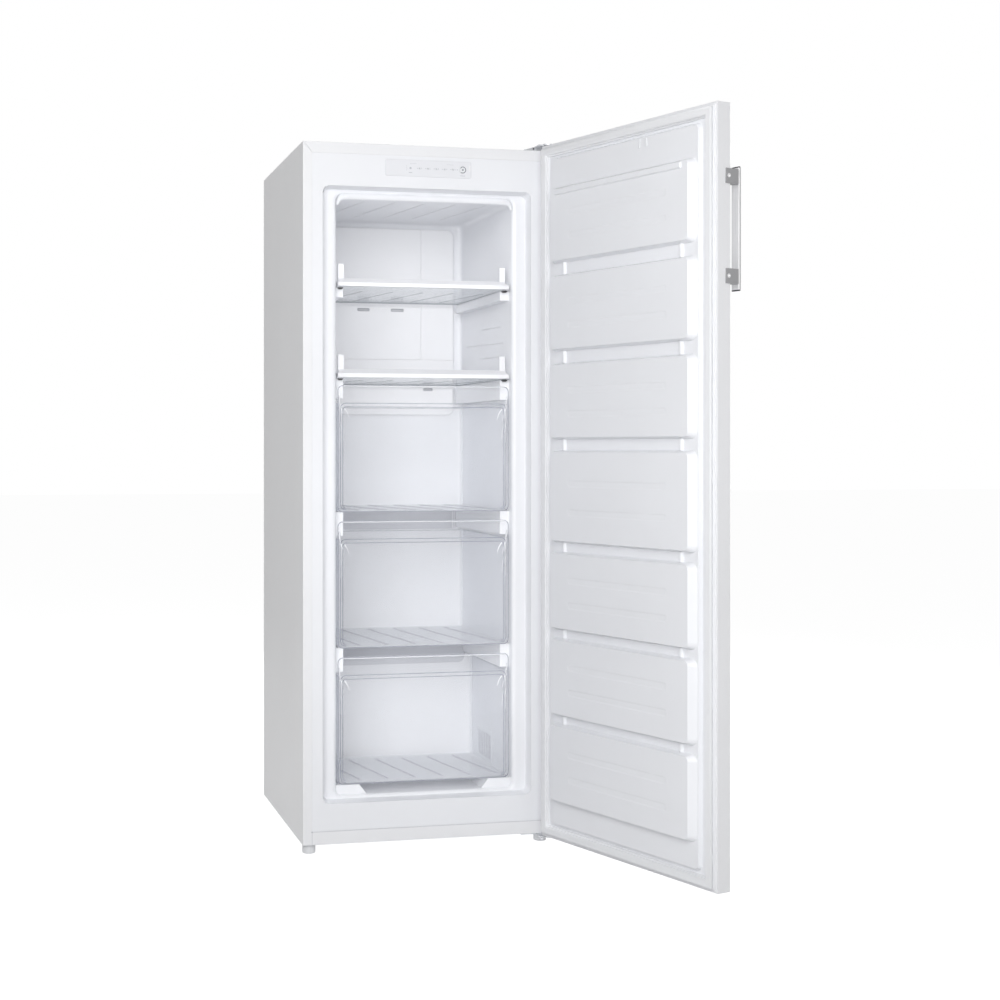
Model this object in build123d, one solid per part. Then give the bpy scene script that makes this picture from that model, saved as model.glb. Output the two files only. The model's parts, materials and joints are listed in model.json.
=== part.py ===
from build123d import *
import os

os.makedirs("parts", exist_ok=True)

# Upright freezer with its door standing open. Millimetres, +Z up, the front faces -Y.
# The origin is on the floor, midway between the cabinet's sides, under its front face.

# ---- driving sizes: cabinet -------------------------------------------------------------
cabinet_width = 600.0
cabinet_depth = 575.0
cabinet_height = 1628.0
foot_height = 22.0            # floor to the underside of the cabinet
sheet = 1.0                   # painted steel
cover_sheet = 1.2             # steel of the cover behind the compressor
liner_wall = 2.5              # thermoformed plastic
fit_gap = 0.2                 # between pieces that are fastened or foamed together
slide_gap = 0.3               # round a piece that slides
over = 1.0                    # how far a cut runs past the piece it cuts
side_flange = 21.5            # steel returned across the front at each side
top_flange = 25.0             # steel returned across the front at the top
mitre_slit = 0.8
rail_height = 30.0
rail_depth = 26.0
rail_lip = 12.0

# ---- driving sizes: compartment ------------------------------------------------------------
recess_side_margin = 47.0     # cabinet side to the edge of the front recess
recess_top_margin = 100.0
recess_bottom_margin = 93.0
recess_depth = 30.0
recess_bevel = 5.0
recess_radius = 16.0
opening_side_step = 38.0      # recess edge to the compartment's side wall
opening_top_drop = 18.0       # recess edge to the ceiling
opening_floor_rise = 12.0     # recess edge to the floor
opening_radius = 14.0
opening_roll = 10.0           # rounding of the edge between the recess and the compartment
box_back_radius = 12.0
back_foam = 103.0             # compartment's rear wall to the cabinet's back
hump_foam = 52.0              # in front of the machine compartment
hump_slope = 40.0
hump_shoulder_rise = 18.0     # machine compartment's top to where the rear wall leans back
pocket_side_step = 30.0       # recess in the rear wall that holds the evaporator
pocket_top_drop = 27.0
pocket_height = 440.0
pocket_depth = 56.0

# ---- driving sizes: shelves and drawers ------------------------------------------------------
ledge_width = 22.0            # how far the moulded ledges stand out of the side walls
ledge_front = 60.0
ledge_rear_margin = 25.0
ledge_lean = 3.0
shelf_ledge_drops = (214.0, 428.0)
shelf_ledge_heights = (22.0, 47.0)
glass_thickness = 4.0
glass_front = 46.0
glass_rear_margin = 30.0
glass_side_gap = 4.0
trim_front = 38.0
trim_depth = 28.0
trim_height = 23.7
trim_lip = 9.0                # height of the upright front face of the trim
trim_low = 3.0                # trim's underside above the glass's underside
trim_slope = 6.0
trim_bevel = 9.0
post_width = 14.0
post_depth = 9.0
post_rise = 33.0
post_inset = 11.0
drawer_count = 3
drawer_floor_rise = 23.0      # compartment floor to the lowest drawer
drawer_shelf_gap = 16.0       # top drawer to the ledge above it
drawer_spacing = 22.0         # top of one drawer front to the bottom of the next
drawer_front_thickness = 4.0
drawer_front_y = 42.0
drawer_front_gap = 5.5        # beside the drawer fronts
drawer_tub_gap = 9.0          # beside the tubs
drawer_tub_drop = 42.0        # tub's rim below the top of its front
bead_drop = 8.0               # moulded frame of the front, below the tub's rim
drawer_wall = 2.5
drawer_rim = 3.0
drawer_rear_margin = 30.0
drawer_ledge_height = 57.0
drawer_radius = 12.0
channel_half_width = 140.0    # lowered middle of the compartment floor
channel_slope = 18.0

# ---- driving sizes: door ------------------------------------------------------------------
door_gap = 12.0               # cabinet front to the door's inner plane
door_thickness = 36.0
door_floor_step = 1.0         # cabinet's underside to the door's
door_top_step = 5.0           # cabinet's top to the door's
skin = 0.8
skin_return = 12.0
skin_radius = 3.0
door_liner_wall = 2.0
cap_height = 14.0
rest_angle = 108.0            # opening at which the door stands at rest
pin_inset = 9.0               # hinge axis to the door's side
pin_setback = 18.0            # hinge axis to the door's outer face
pin_radius = 3.5
pin_clearance = 0.05
bush_wall = 2.4
plateau_side_margin = 45.0
plateau_end_margin = 36.0
plateau_height = 9.0
plateau_slope = 4.0
panel_inset = 5.0
panel_end_gap = 3.0           # recess edge to the first and last panels
panel_heights = (177.0, 178.0, 178.0, 215.0, 182.0, 182.0, 184.0)
panel_spaces = (27.0, 27.0, 24.0, 20.0, 18.0, 17.0)
panel_rise = 16.0
panel_slope = 14.0            # flank of a panel at its left and right
panel_end_slope = 5.0         # and at its top and bottom
panel_radius = 18.0
ridge_half_width = 218.0      # soft ridge along the top edge of the first panel
ridge_height = 17.0
ridge_rise = 4.0
ridge_slope = 3.0
ridge_radius = 4.0
groove_shares = (0.33, 0.64)  # two shallow grooves across each panel
groove_half_length = 170.0
groove_half_height = 8.5
groove_radius = 6.5
groove_depth = 0.8
groove_slope = 3.0
rib_inset = 52.0              # short ribs that cross the valleys between the panels
rib_radius = 7.0
pad_places = (-64.0, -86.0)   # two small oval pads near the door's top
pad_drop = 52.0
pad_width = 5.0
pad_height = 20.0
pad_rise = 1.5
gasket_margin = 6.0
gasket_width = 24.0
gasket_bulb = 18.0
gasket_inset = 3.0
gasket_seal_gap = 0.4

# ---- driving sizes: handle ---------------------------------------------------------------
handle_length = 253.0
handle_drop = 133.0           # door top to the top of the bar
handle_width = 22.0
handle_bar = 5.0
handle_gap = 20.0             # finger room
handle_edge_radius = 1.2
end_cap = 2.5
bracket_drop = 3.3            # top of the bar to the top of the upper bracket
bracket_spacing = 207.0
bracket_height = 31.0
bracket_overlap = 15.0        # how much of the bracket lies on the door's edge
bracket_block = 19.0
bracket_sheet = 2.5
bracket_screw_share = 0.6

# ---- driving sizes: hinges ------------------------------------------------------------------
hinge_sheet = 3.0
hinge_side_gap = 2.0
hinge_nose_radius = 13.0
hinge_nose_offset = 5.0
hinge_arm_width = 36.0
hinge_rise = 2.0              # top of the door to the upper arm
top_plate_width = 60.0
lower_plate_width = 70.0
hinge_cover_height = 18.0
hinge_cover_width = 68.0
hinge_cover_wall = 1.6
screw_head_radius = 4.6
screw_head_height = 2.4
screw_radius = 2.5
screw_slot = 1.1

# ---- driving sizes: feet and rollers -----------------------------------------------------------
foot_radius = 15.0
foot_disc = 9.0
foot_stud_radius = 5.0
foot_stud_reach = 16.0
foot_inset_x = 18.0
foot_inset_y = 24.0
roller_radius = 14.0
roller_width = 18.0
roller_axle_radius = 3.0
roller_inset_x = 60.0
roller_inset_y = 75.0
bracket_cheek = 1.5
cheek_half = 12.0

# ---- driving sizes: machine compartment --------------------------------------------------------
machine_depth = 151.0
machine_height = 368.0
deck_thickness = 1.5
deck_lip = 18.0
compressor_radius = 58.0
compressor_height = 150.0
compressor_x = -60.0
mount_height = 14.0
mount_radius = 10.0
mount_pitch_x = 128.0
mount_pitch_y = 76.0
pan_wall = 1.5
pan_height = 26.0
pan_reach_left = 90.0
pan_reach_right = 120.0
pan_front_margin = 12.0
pan_rear_margin = 16.0
drier_x = 130.0
drier_radius = 9.0
drier_length = 110.0
inlet_side_margin = 80.0
inlet_rise = 45.0
inlet_depth = 26.0
socket_half_width = 14.0
socket_half_height = 8.0
socket_depth = 19.0
condenser_radius = 2.4
condenser_layer = 6.0
condenser_runs = 9
condenser_pitch = 58.0
drain_radius = 7.0
drain_wall = 1.5
pipe_radius = 3.0
pipe_bend = 12.0
pipe_stub = 18.0

# ---- driving sizes: evaporator and fan ---------------------------------------------------------
evaporator_side_step = 35.0
evaporator_rise = 45.0
evaporator_height = 180.0
evaporator_rows = 8
evaporator_pitch = 22.0
evaporator_tube = 4.0
evaporator_fins = 18
fin_margin = 39.5
fin_half_depth = 22.0
fin_half_thickness = 0.4
heater_drop = 14.0
heater_radius = 5.0
fan_drop = 132.0
fan_radius = 46.0
fan_depth = 14.0
fan_blades = 5
fan_twist = 36.0
fan_shaft_radius = 1.5
fan_hub_radius = 13.0
fan_motor_radius = 22.0
cover_depth = 10.0
cover_wall = 2.0
cover_radius = 18.0
cover_left_step = 11.0
cover_right_step = 25.0
cover_top_drop = 15.0
cover_height = 489.0
cover_slot_sides = ((-71.0, -38.0), (19.0, 54.0))
cover_slot_drops = (212.0, 233.0)
cover_low_slot = (107.0, 133.0, 441.0)
cover_slot_height = 8.0
cover_seam_x = 100.0
cover_seam_drop = 360.0
cover_seam_width = 1.2
cover_seam_depth = 0.7

# ---- driving sizes: control panel --------------------------------------------------------------
control_width = 209.0
control_height = 40.0
control_drop = 53.0           # cabinet top to the panel's centre
control_radius = 5.0
control_proud = 1.2
control_rim = 1.6
control_rim_height = 0.8
control_pocket_depth = 24.0
control_pocket_side = 8.0
control_pocket_end = 5.0
housing_wall = 1.5
board_thickness = 1.6
board_half_height = 10.0
board_setback = 8.0
switch_half = 3.0
switch_height = 3.2
button_radius = 8.0
button_flange = 1.2
button_x = 83.0
button_travel = 1.0
lamp_x = -44.0
scale_start = -22.0
scale_pitch = 20.4
scale_marks = 5
lamp_radius = 1.8

# ---- worked out from the sizes above: cabinet and compartment ------------------------------------
half_width = cabinet_width / 2
cabinet_low = foot_height
cabinet_high = foot_height + cabinet_height
inside_half = half_width - sheet - fit_gap
inside_high = cabinet_high - sheet - fit_gap
flange_y = sheet + fit_gap
rail_top = cabinet_low + rail_height
floor_low = cabinet_low + sheet + fit_gap
recess_half_width = half_width - recess_side_margin
recess_low = cabinet_low + recess_bottom_margin
recess_high = cabinet_high - recess_top_margin
opening_half_width = recess_half_width - opening_side_step
opening_low = recess_low + opening_floor_rise
opening_high = recess_high - opening_top_drop
inner_back = cabinet_depth - back_foam
machine_front = cabinet_depth - machine_depth
machine_top = cabinet_low + machine_height
machine_y = (machine_front + cabinet_depth) / 2
shield_front = machine_front - sheet
shield_back = cabinet_depth - sheet - condenser_layer
cover_y = cabinet_depth - cover_sheet
hump_front = machine_front - hump_foam
hump_shoulder = machine_top + hump_shoulder_rise
hump_top = hump_shoulder + hump_slope
pocket_half_width = opening_half_width - pocket_side_step
pocket_high = opening_high - pocket_top_drop
pocket_low = pocket_high - pocket_height
pocket_back = inner_back + pocket_depth

# ---- worked out: shelves and drawers -------------------------------------------------------------
glass_back = inner_back - glass_rear_margin
ledge_back = inner_back - ledge_rear_margin
ledge_inner = opening_half_width - ledge_width
shelf_ledge_tops = [opening_high - drop for drop in shelf_ledge_drops]
lowest_drawer = opening_low + drawer_floor_rise
top_drawer_high = shelf_ledge_tops[-1] - drawer_shelf_gap
drawer_pitch = (top_drawer_high - lowest_drawer + drawer_spacing) / drawer_count
drawer_front_height = drawer_pitch - drawer_spacing
drawer_tub_height = drawer_front_height - drawer_tub_drop
drawer_lows = [lowest_drawer + row * drawer_pitch for row in reversed(range(drawer_count))]
floor_ledge_top = lowest_drawer - slide_gap

# ---- worked out: door, hinges and handle ---------------------------------------------------------
door_low = cabinet_low + door_floor_step
door_high = cabinet_high + door_top_step
door_inner = -door_gap
door_outer = -door_gap - door_thickness
pin_x = half_width - pin_inset
pin_y = door_outer + pin_setback
bush_outer = pin_radius + pin_clearance + bush_wall
hinge_side = half_width - hinge_side_gap
arm_side = hinge_side - hinge_arm_width
arm_low = door_high + hinge_rise
lower_hinge_high = cabinet_low - fit_gap
lower_hinge_low = lower_hinge_high - hinge_sheet
handle_high = door_high - handle_drop
handle_low = handle_high - handle_length
handle_edge = -half_width - bracket_sheet - fit_gap
handle_inner = door_outer - handle_gap
handle_outer = handle_inner - handle_bar
bracket_screw_y = door_outer + bracket_overlap * bracket_screw_share

# ---- worked out: machine compartment, evaporator and controls --------------------------------------
deck_top = floor_low + deck_thickness
roller_y = cabinet_depth - roller_inset_y
compressor_low = deck_top + mount_height
compressor_top = compressor_low + compressor_height
compressor_side = compressor_x + compressor_radius + pipe_stub
drain_x = 0.0
drain_y = pocket_back - 16.0
pipe_x = -pocket_half_width + 13.0
pipe_y = pocket_back + 17.0
suction_y = machine_y - 20.0
suction_z = compressor_low + 95.0
inlet_x = half_width - inlet_side_margin
inlet_z = cabinet_low + inlet_rise
evaporator_y = inner_back + 31.0
evaporator_half = pocket_half_width - evaporator_side_step
evaporator_low = pocket_low + evaporator_rise
evaporator_high = evaporator_low + evaporator_height
evaporator_start = evaporator_low + 14.0
heater_z = evaporator_low - heater_drop
fan_z = opening_high - fan_drop
fan_front = inner_back + 8.0
cover_front = inner_back - cover_depth
cover_high = opening_high - cover_top_drop
cover_low = cover_high - cover_height
cover_left = -opening_half_width + cover_left_step
cover_right = opening_half_width - cover_right_step
control_centre = cabinet_high - control_drop
control_face = flange_y - control_proud
board_y = flange_y + board_setback


# ---- shape helpers -----------------------------------------------------------------------
def block(x0, x1, y0, y1, z0, z1):
    return Pos((x0 + x1) / 2, (y0 + y1) / 2, (z0 + z1) / 2) * Box(x1 - x0, y1 - y0, z1 - z0)


def facing_plane(x, y, z):
    # a plane that faces the front: local x is +X and local y is +Z
    return Plane(origin=(x, y, z), x_dir=(1, 0, 0), z_dir=(0, -1, 0))


def rounded_sheet(x0, x1, z0, z1, radius, y):
    plane = facing_plane((x0 + x1) / 2, y, (z0 + z1) / 2)
    return plane * RectangleRounded(x1 - x0, z1 - z0, radius)


def rounded_prism(x0, x1, z0, z1, radius, y0, y1):
    return extrude(rounded_sheet(x0, x1, z0, z1, radius, y1), amount=y1 - y0)


def tapered_prism(x0, x1, z0, z1, radius, y0, y1, inset, end_inset=None):
    # full size at y0, smaller at y1 by inset, or at top and bottom by end_inset
    wide = rounded_sheet(x0, x1, z0, z1, radius, y0)
    end_radius = max(radius - inset / 2, 1.0)
    rise = inset if end_inset is None else end_inset
    narrow = rounded_sheet(x0 + inset, x1 - inset, z0 + rise, z1 - rise, end_radius, y1)
    return loft([wide, narrow], ruled=True)


def prism_x(points, x0, x1):
    face = Plane(origin=(x0, 0, 0), x_dir=(0, 1, 0), z_dir=(1, 0, 0)) * Polygon(*points, align=None)
    return extrude(face, amount=x1 - x0, dir=(1, 0, 0))


def prism_y(points, y0, y1):
    return extrude(facing_plane(0, y1, 0) * Polygon(*points, align=None), amount=y1 - y0, dir=(0, -1, 0))


def prism_z(points, z0, z1):
    return extrude(Plane.XY.offset(z0) * Polygon(*points, align=None), amount=z1 - z0, dir=(0, 0, 1))


def soft_front_block(x0, x1, y0, y1, z0, z1, radius):
    # a block whose two upright edges at y0 are rounded
    solid = block(x0, x1, y0, y1, z0, z1)
    corner = solid.edges().filter_by(Axis.Z).group_by(Axis.Y)[0]
    return fillet(corner, radius)


def rod_x(y, z, x0, x1, radius):
    return Pos((x0 + x1) / 2, y, z) * Rot(0, 90, 0) * Cylinder(radius, x1 - x0)


def rod_y(x, z, y0, y1, radius):
    return Pos(x, (y0 + y1) / 2, z) * Rot(90, 0, 0) * Cylinder(radius, y1 - y0)


def rod_z(x, y, z0, z1, radius):
    return Pos(x, y, (z0 + z1) / 2) * Cylinder(radius, z1 - z0)


def mirrored(shape):
    return mirror(shape, Plane.YZ)


def evenly(count, pitch):
    # places spread evenly about zero
    return [(index - (count - 1) / 2) * pitch for index in range(count)]


def bent_tube(points, bend, radius):
    path = FilletPolyline(*points, radius=bend)
    start = Vector(*points[1]) - Vector(*points[0])
    return sweep(Plane(origin=points[0], z_dir=start) * Circle(radius), path=path)


def serpentine(plane_y, x_positions, z_low, z_high, radius):
    # one bent tube: upright runs at the given places, joined top and bottom in turn
    points = []
    for index, x in enumerate(x_positions):
        ends = (z_low, z_high) if index % 2 == 0 else (z_high, z_low)
        points.append((x, plane_y, ends[0]))
        points.append((x, plane_y, ends[1]))
    bend = abs(x_positions[1] - x_positions[0]) / 2 - 0.01
    return bent_tube(points, bend, radius)


def save(name, *solids):
    shape = solids[0] if len(solids) == 1 else Compound(children=list(solids))
    export_step(shape, f"parts/{name}.step")


def as_open_door(shape):
    # the door is drawn shut and then swung to its rest angle about the hinge axis
    return Pos(pin_x, pin_y, 0) * Rot(0, 0, rest_angle) * Pos(-pin_x, -pin_y, 0) * shape


def save_on_door(name, *solids):
    save(name, *[as_open_door(solid) for solid in solids])


# ---- where the feet, rollers and lamps are -------------------------------------------------------
def foot_places():
    x = half_width - foot_inset_x
    return ((-x, foot_inset_y), (x, foot_inset_y))


def roller_places():
    x = half_width - roller_inset_x
    return (-x, x)


def lamp_places():
    return [lamp_x] + [scale_start + index * scale_pitch for index in range(scale_marks)]


# ---- steel wrapper, rail, base and back --------------------------------------------------------
def outer_wrapper():
    window = half_width - side_flange
    window_high = cabinet_high - top_flange
    inner = half_width - sheet
    inner_high = cabinet_high - sheet
    lean = mitre_slit / 2
    shell = block(-half_width, half_width, 0, cabinet_depth, cabinet_low, cabinet_high)
    shell -= block(-inner, inner, sheet, cabinet_depth, cabinet_low, inner_high)
    shell -= block(-window, window, 0, sheet, cabinet_low, window_high)
    slit_points = [
        (window - lean, window_high - lean),
        (window + lean, window_high - lean),
        (inner, inner_high - mitre_slit),
        (inner - mitre_slit, inner_high),
    ]
    slit = prism_y(slit_points, 0, sheet)
    return shell - slit - mirrored(slit)


def bottom_rail():
    reach = half_width - side_flange - fit_gap
    face = block(-reach, reach, 0, sheet, cabinet_low, rail_top)
    foot = block(-reach, reach, 0, rail_depth, cabinet_low, cabinet_low + sheet)
    lip = block(-reach, reach, 0, rail_lip, rail_top - sheet, rail_top)
    rail = face + foot + lip
    for x, y in foot_places():
        rail -= rod_z(x, y, cabinet_low - over, floor_low + over, foot_stud_radius + over)
    return rail


def bottom_plate():
    # one bent sheet: the floor under the foam, then up and back over the compressor
    plate = block(-inside_half, inside_half, flange_y, machine_front, floor_low, floor_low + sheet)
    plate += block(-inside_half, inside_half, shield_front, machine_front, floor_low, machine_top)
    plate += block(-inside_half, inside_half, shield_front, shield_back, machine_top, machine_top + sheet)
    for x, y in foot_places():
        plate -= rod_z(x, y, cabinet_low, deck_top + over, foot_stud_radius + pin_clearance)
    plate -= rod_z(drain_x, drain_y, machine_top - over, machine_top + sheet + over, drain_radius + fit_gap)
    return plate - suction_pipe(pipe_radius + fit_gap)


def compressor_deck():
    back = cover_y - fit_gap
    front = machine_front + fit_gap
    deck = block(-inside_half, inside_half, front, back, floor_low, deck_top)
    deck += block(-inside_half, inside_half, front, front + deck_thickness, floor_low, floor_low + deck_lip)
    slot_x = roller_width / 2 + 3.0
    slot_y = roller_radius + 4.0
    for x in roller_places():
        deck -= block(x - slot_x, x + slot_x, roller_y - slot_y, roller_y + slot_y, 0, deck_top + over)
    return deck


panel_seam = machine_top + 4.0


def back_panel():
    return block(-inside_half, inside_half, cabinet_depth - sheet, cabinet_depth, panel_seam, inside_high)


def machine_cover():
    low = cabinet_low + 4.0
    cover = block(-inside_half, inside_half, cover_y, cabinet_depth, low, panel_seam - fit_gap)
    slot_height = 5.0
    slot_half = 55.0
    for x in evenly(3, 150.0):
        for rise in evenly(9, 16.0):
            z = (low + panel_seam) / 2 + rise
            slot = block(x - slot_half, x + slot_half, cover_y, cabinet_depth, z, z + slot_height)
            cover -= slot
    return cover - inlet_socket(over)


# ---- inner liner --------------------------------------------------------------------------
def ledge_levels():
    levels = [(top - height, top) for top, height in zip(shelf_ledge_tops, shelf_ledge_heights)]
    for low in drawer_lows[:-1]:
        top = low - slide_gap
        levels.append((top - drawer_ledge_height, top))
    return levels


def side_ledge(low, high, shrink):
    # a moulded ledge on the right wall, drawn smaller by shrink for the hollow behind it
    front = ledge_front + shrink
    back = ledge_back - shrink
    points = [
        (front, low + shrink),
        (front - ledge_lean, high - shrink),
        (back, high - shrink),
        (back, low + shrink),
    ]
    return prism_x(points, ledge_inner + shrink, opening_half_width + 2 * liner_wall)


def floor_side(shrink):
    # raised side of the floor, on which the lowest drawer stands
    inner = channel_half_width + shrink
    outer = opening_half_width + 2 * liner_wall
    top = floor_ledge_top - shrink
    below = opening_low - 2 * liner_wall
    points = [
        (inner, below),
        (inner, opening_low),
        (inner + channel_slope, top),
        (outer, top),
        (outer, below),
    ]
    return prism_y(points, recess_depth + opening_roll + shrink, hump_front + hump_slope / 2)


def hump(shrink):
    front = hump_front + shrink
    top = hump_top - shrink
    below = opening_low - hump_slope
    behind = pocket_back
    points = [
        (front, below),
        (front, hump_shoulder - shrink / 2),
        (front + hump_slope, top),
        (behind, top),
        (behind, below),
    ]
    return prism_x(points, -half_width, half_width)


def is_opening_rim(point, grow):
    # true on the edge where the recess's floor meets the compartment's walls
    in_plane = abs(point.Y - recess_depth - grow) < 0.01
    beside = abs(point.X) < opening_half_width + grow + over
    between = opening_low - grow - over < point.Z < opening_high + grow + over
    return in_plane and beside and between


def compartment(grow):
    # the air space of the compartment, made larger all round by grow
    recess = tapered_prism(
        -recess_half_width - grow,
        recess_half_width + grow,
        recess_low - grow,
        recess_high + grow,
        recess_radius,
        0,
        recess_depth + grow,
        recess_bevel,
    )
    box = rounded_prism(
        -opening_half_width - grow,
        opening_half_width + grow,
        opening_low - grow,
        opening_high + grow,
        opening_radius,
        recess_depth - over,
        inner_back + grow,
    )
    box = fillet(box.edges().group_by(Axis.Y)[-1], box_back_radius)
    space = recess + box
    rim = [edge for edge in space.edges() if is_opening_rim(edge.center(), grow)]
    space = fillet(rim, opening_roll - grow)
    pocket = rounded_prism(
        -pocket_half_width - grow,
        pocket_half_width + grow,
        pocket_low - grow,
        pocket_high + grow,
        opening_radius,
        inner_back - over,
        pocket_back + grow,
    )
    space = space + pocket - hump(grow)
    for side in (floor_side(grow), *[side_ledge(low, high, grow) for low, high in ledge_levels()]):
        space = space - side - mirrored(side)
    return space


def drain_hole(z0, z1):
    return rod_z(drain_x, drain_y, z0, z1, drain_radius + fit_gap)


def inner_liner():
    flange_back = flange_y + liner_wall
    flange = block(-inside_half, inside_half, flange_y, flange_back, rail_top + fit_gap, inside_high)
    solid = flange + compartment(liner_wall)
    solid = solid & block(-inside_half, inside_half, flange_y, cabinet_depth, cabinet_low, cabinet_high)
    solid -= compartment(0)
    solid -= drain_hole(pocket_low - 2 * liner_wall, pocket_low + liner_wall)
    return solid - panel_pocket(fit_gap) - suction_pipe(pipe_radius + fit_gap)


# ---- control panel ---------------------------------------------------------------------
def control_prism(inset_x, inset_z, radius, y0, y1):
    # a rounded plate on the panel's centre, smaller than the panel by the insets
    reach = control_width / 2 - inset_x
    half = control_height / 2 - inset_z
    return rounded_prism(-reach, reach, control_centre - half, control_centre + half, radius, y0, y1)


def panel_pocket(grow):
    back = flange_y + control_pocket_depth + grow
    return control_prism(control_pocket_side - grow, control_pocket_end - grow, 3.0, 0, back)


def control_fascia():
    front = control_face - control_rim_height
    plate = control_prism(0, 0, control_radius, front, flange_y)
    plate -= control_prism(control_rim, control_rim, control_radius - control_rim, front, control_face)
    plate -= rod_y(button_x, control_centre, front - over, flange_y + over, button_radius + slide_gap)
    for x in lamp_places():
        plate -= rod_y(x, control_centre, front - over, flange_y + over, lamp_radius + fit_gap)
    return plate


def control_housing():
    behind_flange = block(-half_width, half_width, flange_y + fit_gap, cabinet_depth, 0, cabinet_high)
    shell = panel_pocket(0) & behind_flange
    hollow_back = flange_y + control_pocket_depth - housing_wall
    side = control_pocket_side + housing_wall
    end = control_pocket_end + housing_wall
    return shell - control_prism(side, end, housing_wall, 0, hollow_back)


def control_board():
    reach = control_width / 2 - control_pocket_side - 4.0
    low = control_centre - board_half_height
    high = control_centre + board_half_height
    rear = board_y + board_thickness
    board = block(-reach, reach, board_y, rear, low, high)
    board += block(
        button_x - switch_half,
        button_x + switch_half,
        board_y - switch_height,
        board_y,
        control_centre - switch_half,
        control_centre + switch_half,
    )
    board += block(-10.0, 10.0, rear, rear + 2.0, control_centre - 5.0, control_centre + 5.0)
    post_end = flange_y + control_pocket_depth - housing_wall - fit_gap
    for x in evenly(2, 120.0):
        board += rod_y(x, control_centre, rear, post_end, 2.5)
    return board


def control_button():
    stem_end = board_y - switch_height - button_travel - fit_gap
    flange_front = flange_y + fit_gap
    flange_back = flange_front + button_flange
    cap = rod_y(button_x, control_centre, control_face - over, flange_front, button_radius)
    flange = rod_y(button_x, control_centre, flange_front, flange_back, button_radius + button_flange)
    stem = rod_y(button_x, control_centre, flange_back, stem_end, 2.0)
    return cap + flange + stem


def lamp_lenses():
    face = control_face - fit_gap
    back = board_y - fit_gap
    return [rod_y(x, control_centre, face, back, lamp_radius) for x in lamp_places()]


# ---- foam ------------------------------------------------------------------------------
def cabinet_foam():
    base = floor_low + sheet + fit_gap
    front = flange_y + liner_wall + fit_gap
    body = block(-inside_half, inside_half, front, shield_back, base, inside_high)
    body -= compartment(liner_wall + fit_gap)
    body -= panel_pocket(2 * fit_gap)
    machine_space = machine_top + sheet + fit_gap
    body -= block(-half_width, half_width, shield_front - fit_gap, cabinet_depth, 0, machine_space)
    body -= block(-half_width, half_width, 0, rail_depth + over, 0, rail_top + fit_gap)
    body -= drain_hole(0, pocket_low)
    for x, y in foot_places():
        body -= rod_z(x, y, 0, cabinet_low + foot_stud_reach + over, foot_stud_radius + over)
    return body - suction_pipe(pipe_radius + fit_gap)


# ---- refrigeration ----------------------------------------------------------------------
def suction_pipe(radius):
    # from the compressor up through the foam to the evaporator
    side_x = 90.0
    under = machine_top - 45.0
    points = [
        (compressor_side + fit_gap, suction_y, suction_z),
        (side_x, suction_y, suction_z),
        (side_x, suction_y, under),
        (pipe_x, suction_y, under),
        (pipe_x, pipe_y, under),
        (pipe_x, pipe_y, evaporator_start),
        (pipe_x, evaporator_y, evaporator_start),
        (-evaporator_half - fit_gap, evaporator_y, evaporator_start),
    ]
    return bent_tube(points, pipe_bend, radius)


def compressor():
    low = compressor_low
    x = compressor_x
    plate_x = compressor_radius + 20.0
    plate_y = 50.0
    foot_plate = block(x - plate_x, x + plate_x, machine_y - plate_y, machine_y + plate_y, low, low + 3.0)
    shell = rod_z(x, machine_y, low + 3.0, compressor_top, compressor_radius)
    shell = fillet(shell.edges().filter_by(GeomType.CIRCLE).group_by(Axis.Z)[-1], 34.0)
    seam = rod_z(x, machine_y, low + 72.0, low + 78.0, compressor_radius + 3.0)
    suction_stub = rod_x(suction_y, suction_z, x, compressor_side, pipe_radius + 1.0)
    discharge_stub = rod_x(machine_y + 20.0, low + 60.0, x, compressor_side, pipe_radius)
    return foot_plate + shell + seam + suction_stub + discharge_stub


def compressor_mounts():
    mounts = []
    for dx in evenly(2, mount_pitch_x):
        for dy in evenly(2, mount_pitch_y):
            mounts.append(rod_z(compressor_x + dx, machine_y + dy, deck_top, compressor_low, mount_radius))
    return mounts


def terminal_box():
    low = compressor_low
    wall_x = compressor_x - compressor_radius
    box = block(wall_x - 36.0, wall_x - 3.5, machine_y - 28.0, machine_y + 28.0, low + 20.0, low + 66.0)
    box = fillet(box.edges().filter_by(Axis.Y), 5.0)
    box += block(wall_x - 5.0, wall_x + 2.0, machine_y - 8.0, machine_y + 8.0, low + 30.0, low + 56.0)
    return box - rod_z(compressor_x, machine_y, low, low + 70.0, compressor_radius + fit_gap)


def drip_pan():
    low = compressor_top + fit_gap
    left = compressor_x - pan_reach_left
    right = compressor_x + pan_reach_right
    front = machine_front + pan_front_margin
    back = cabinet_depth - pan_rear_margin
    wall = pan_wall
    outer = block(left, right, front, back, low, low + pan_height)
    inner = block(left + wall, right - wall, front + wall, back - wall, low + wall, low + pan_height + over)
    return outer - inner


def filter_drier():
    low = cabinet_low + 60.0
    high = low + drier_length
    y = machine_front + 12.0
    tip = 14.0
    body = rod_z(drier_x, y, low, high, drier_radius)
    tips = rod_z(drier_x, y, low - tip, high + tip, pipe_radius)
    clip_half = drier_radius + 2.0
    clip_low = low + 40.0
    clip = block(
        drier_x - clip_half,
        drier_x + clip_half,
        machine_front + fit_gap,
        machine_front + 5.0,
        clip_low,
        clip_low + 30.0,
    )
    return body + tips + clip


def inlet_socket(grow):
    half_x = socket_half_width + grow
    half_z = socket_half_height + grow
    front = cabinet_depth - socket_depth
    left = inlet_x - half_x
    right = inlet_x + half_x
    return block(left, right, front, cabinet_depth + over, inlet_z - half_z, inlet_z + half_z)


def power_inlet():
    back = cover_y - fit_gap
    half_x = socket_half_width + 10.0
    half_z = socket_half_height + 6.0
    left = inlet_x - half_x
    right = inlet_x + half_x
    body = block(left, right, back - inlet_depth, back, inlet_z - half_z, inlet_z + half_z)
    return body - inlet_socket(0)


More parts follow.
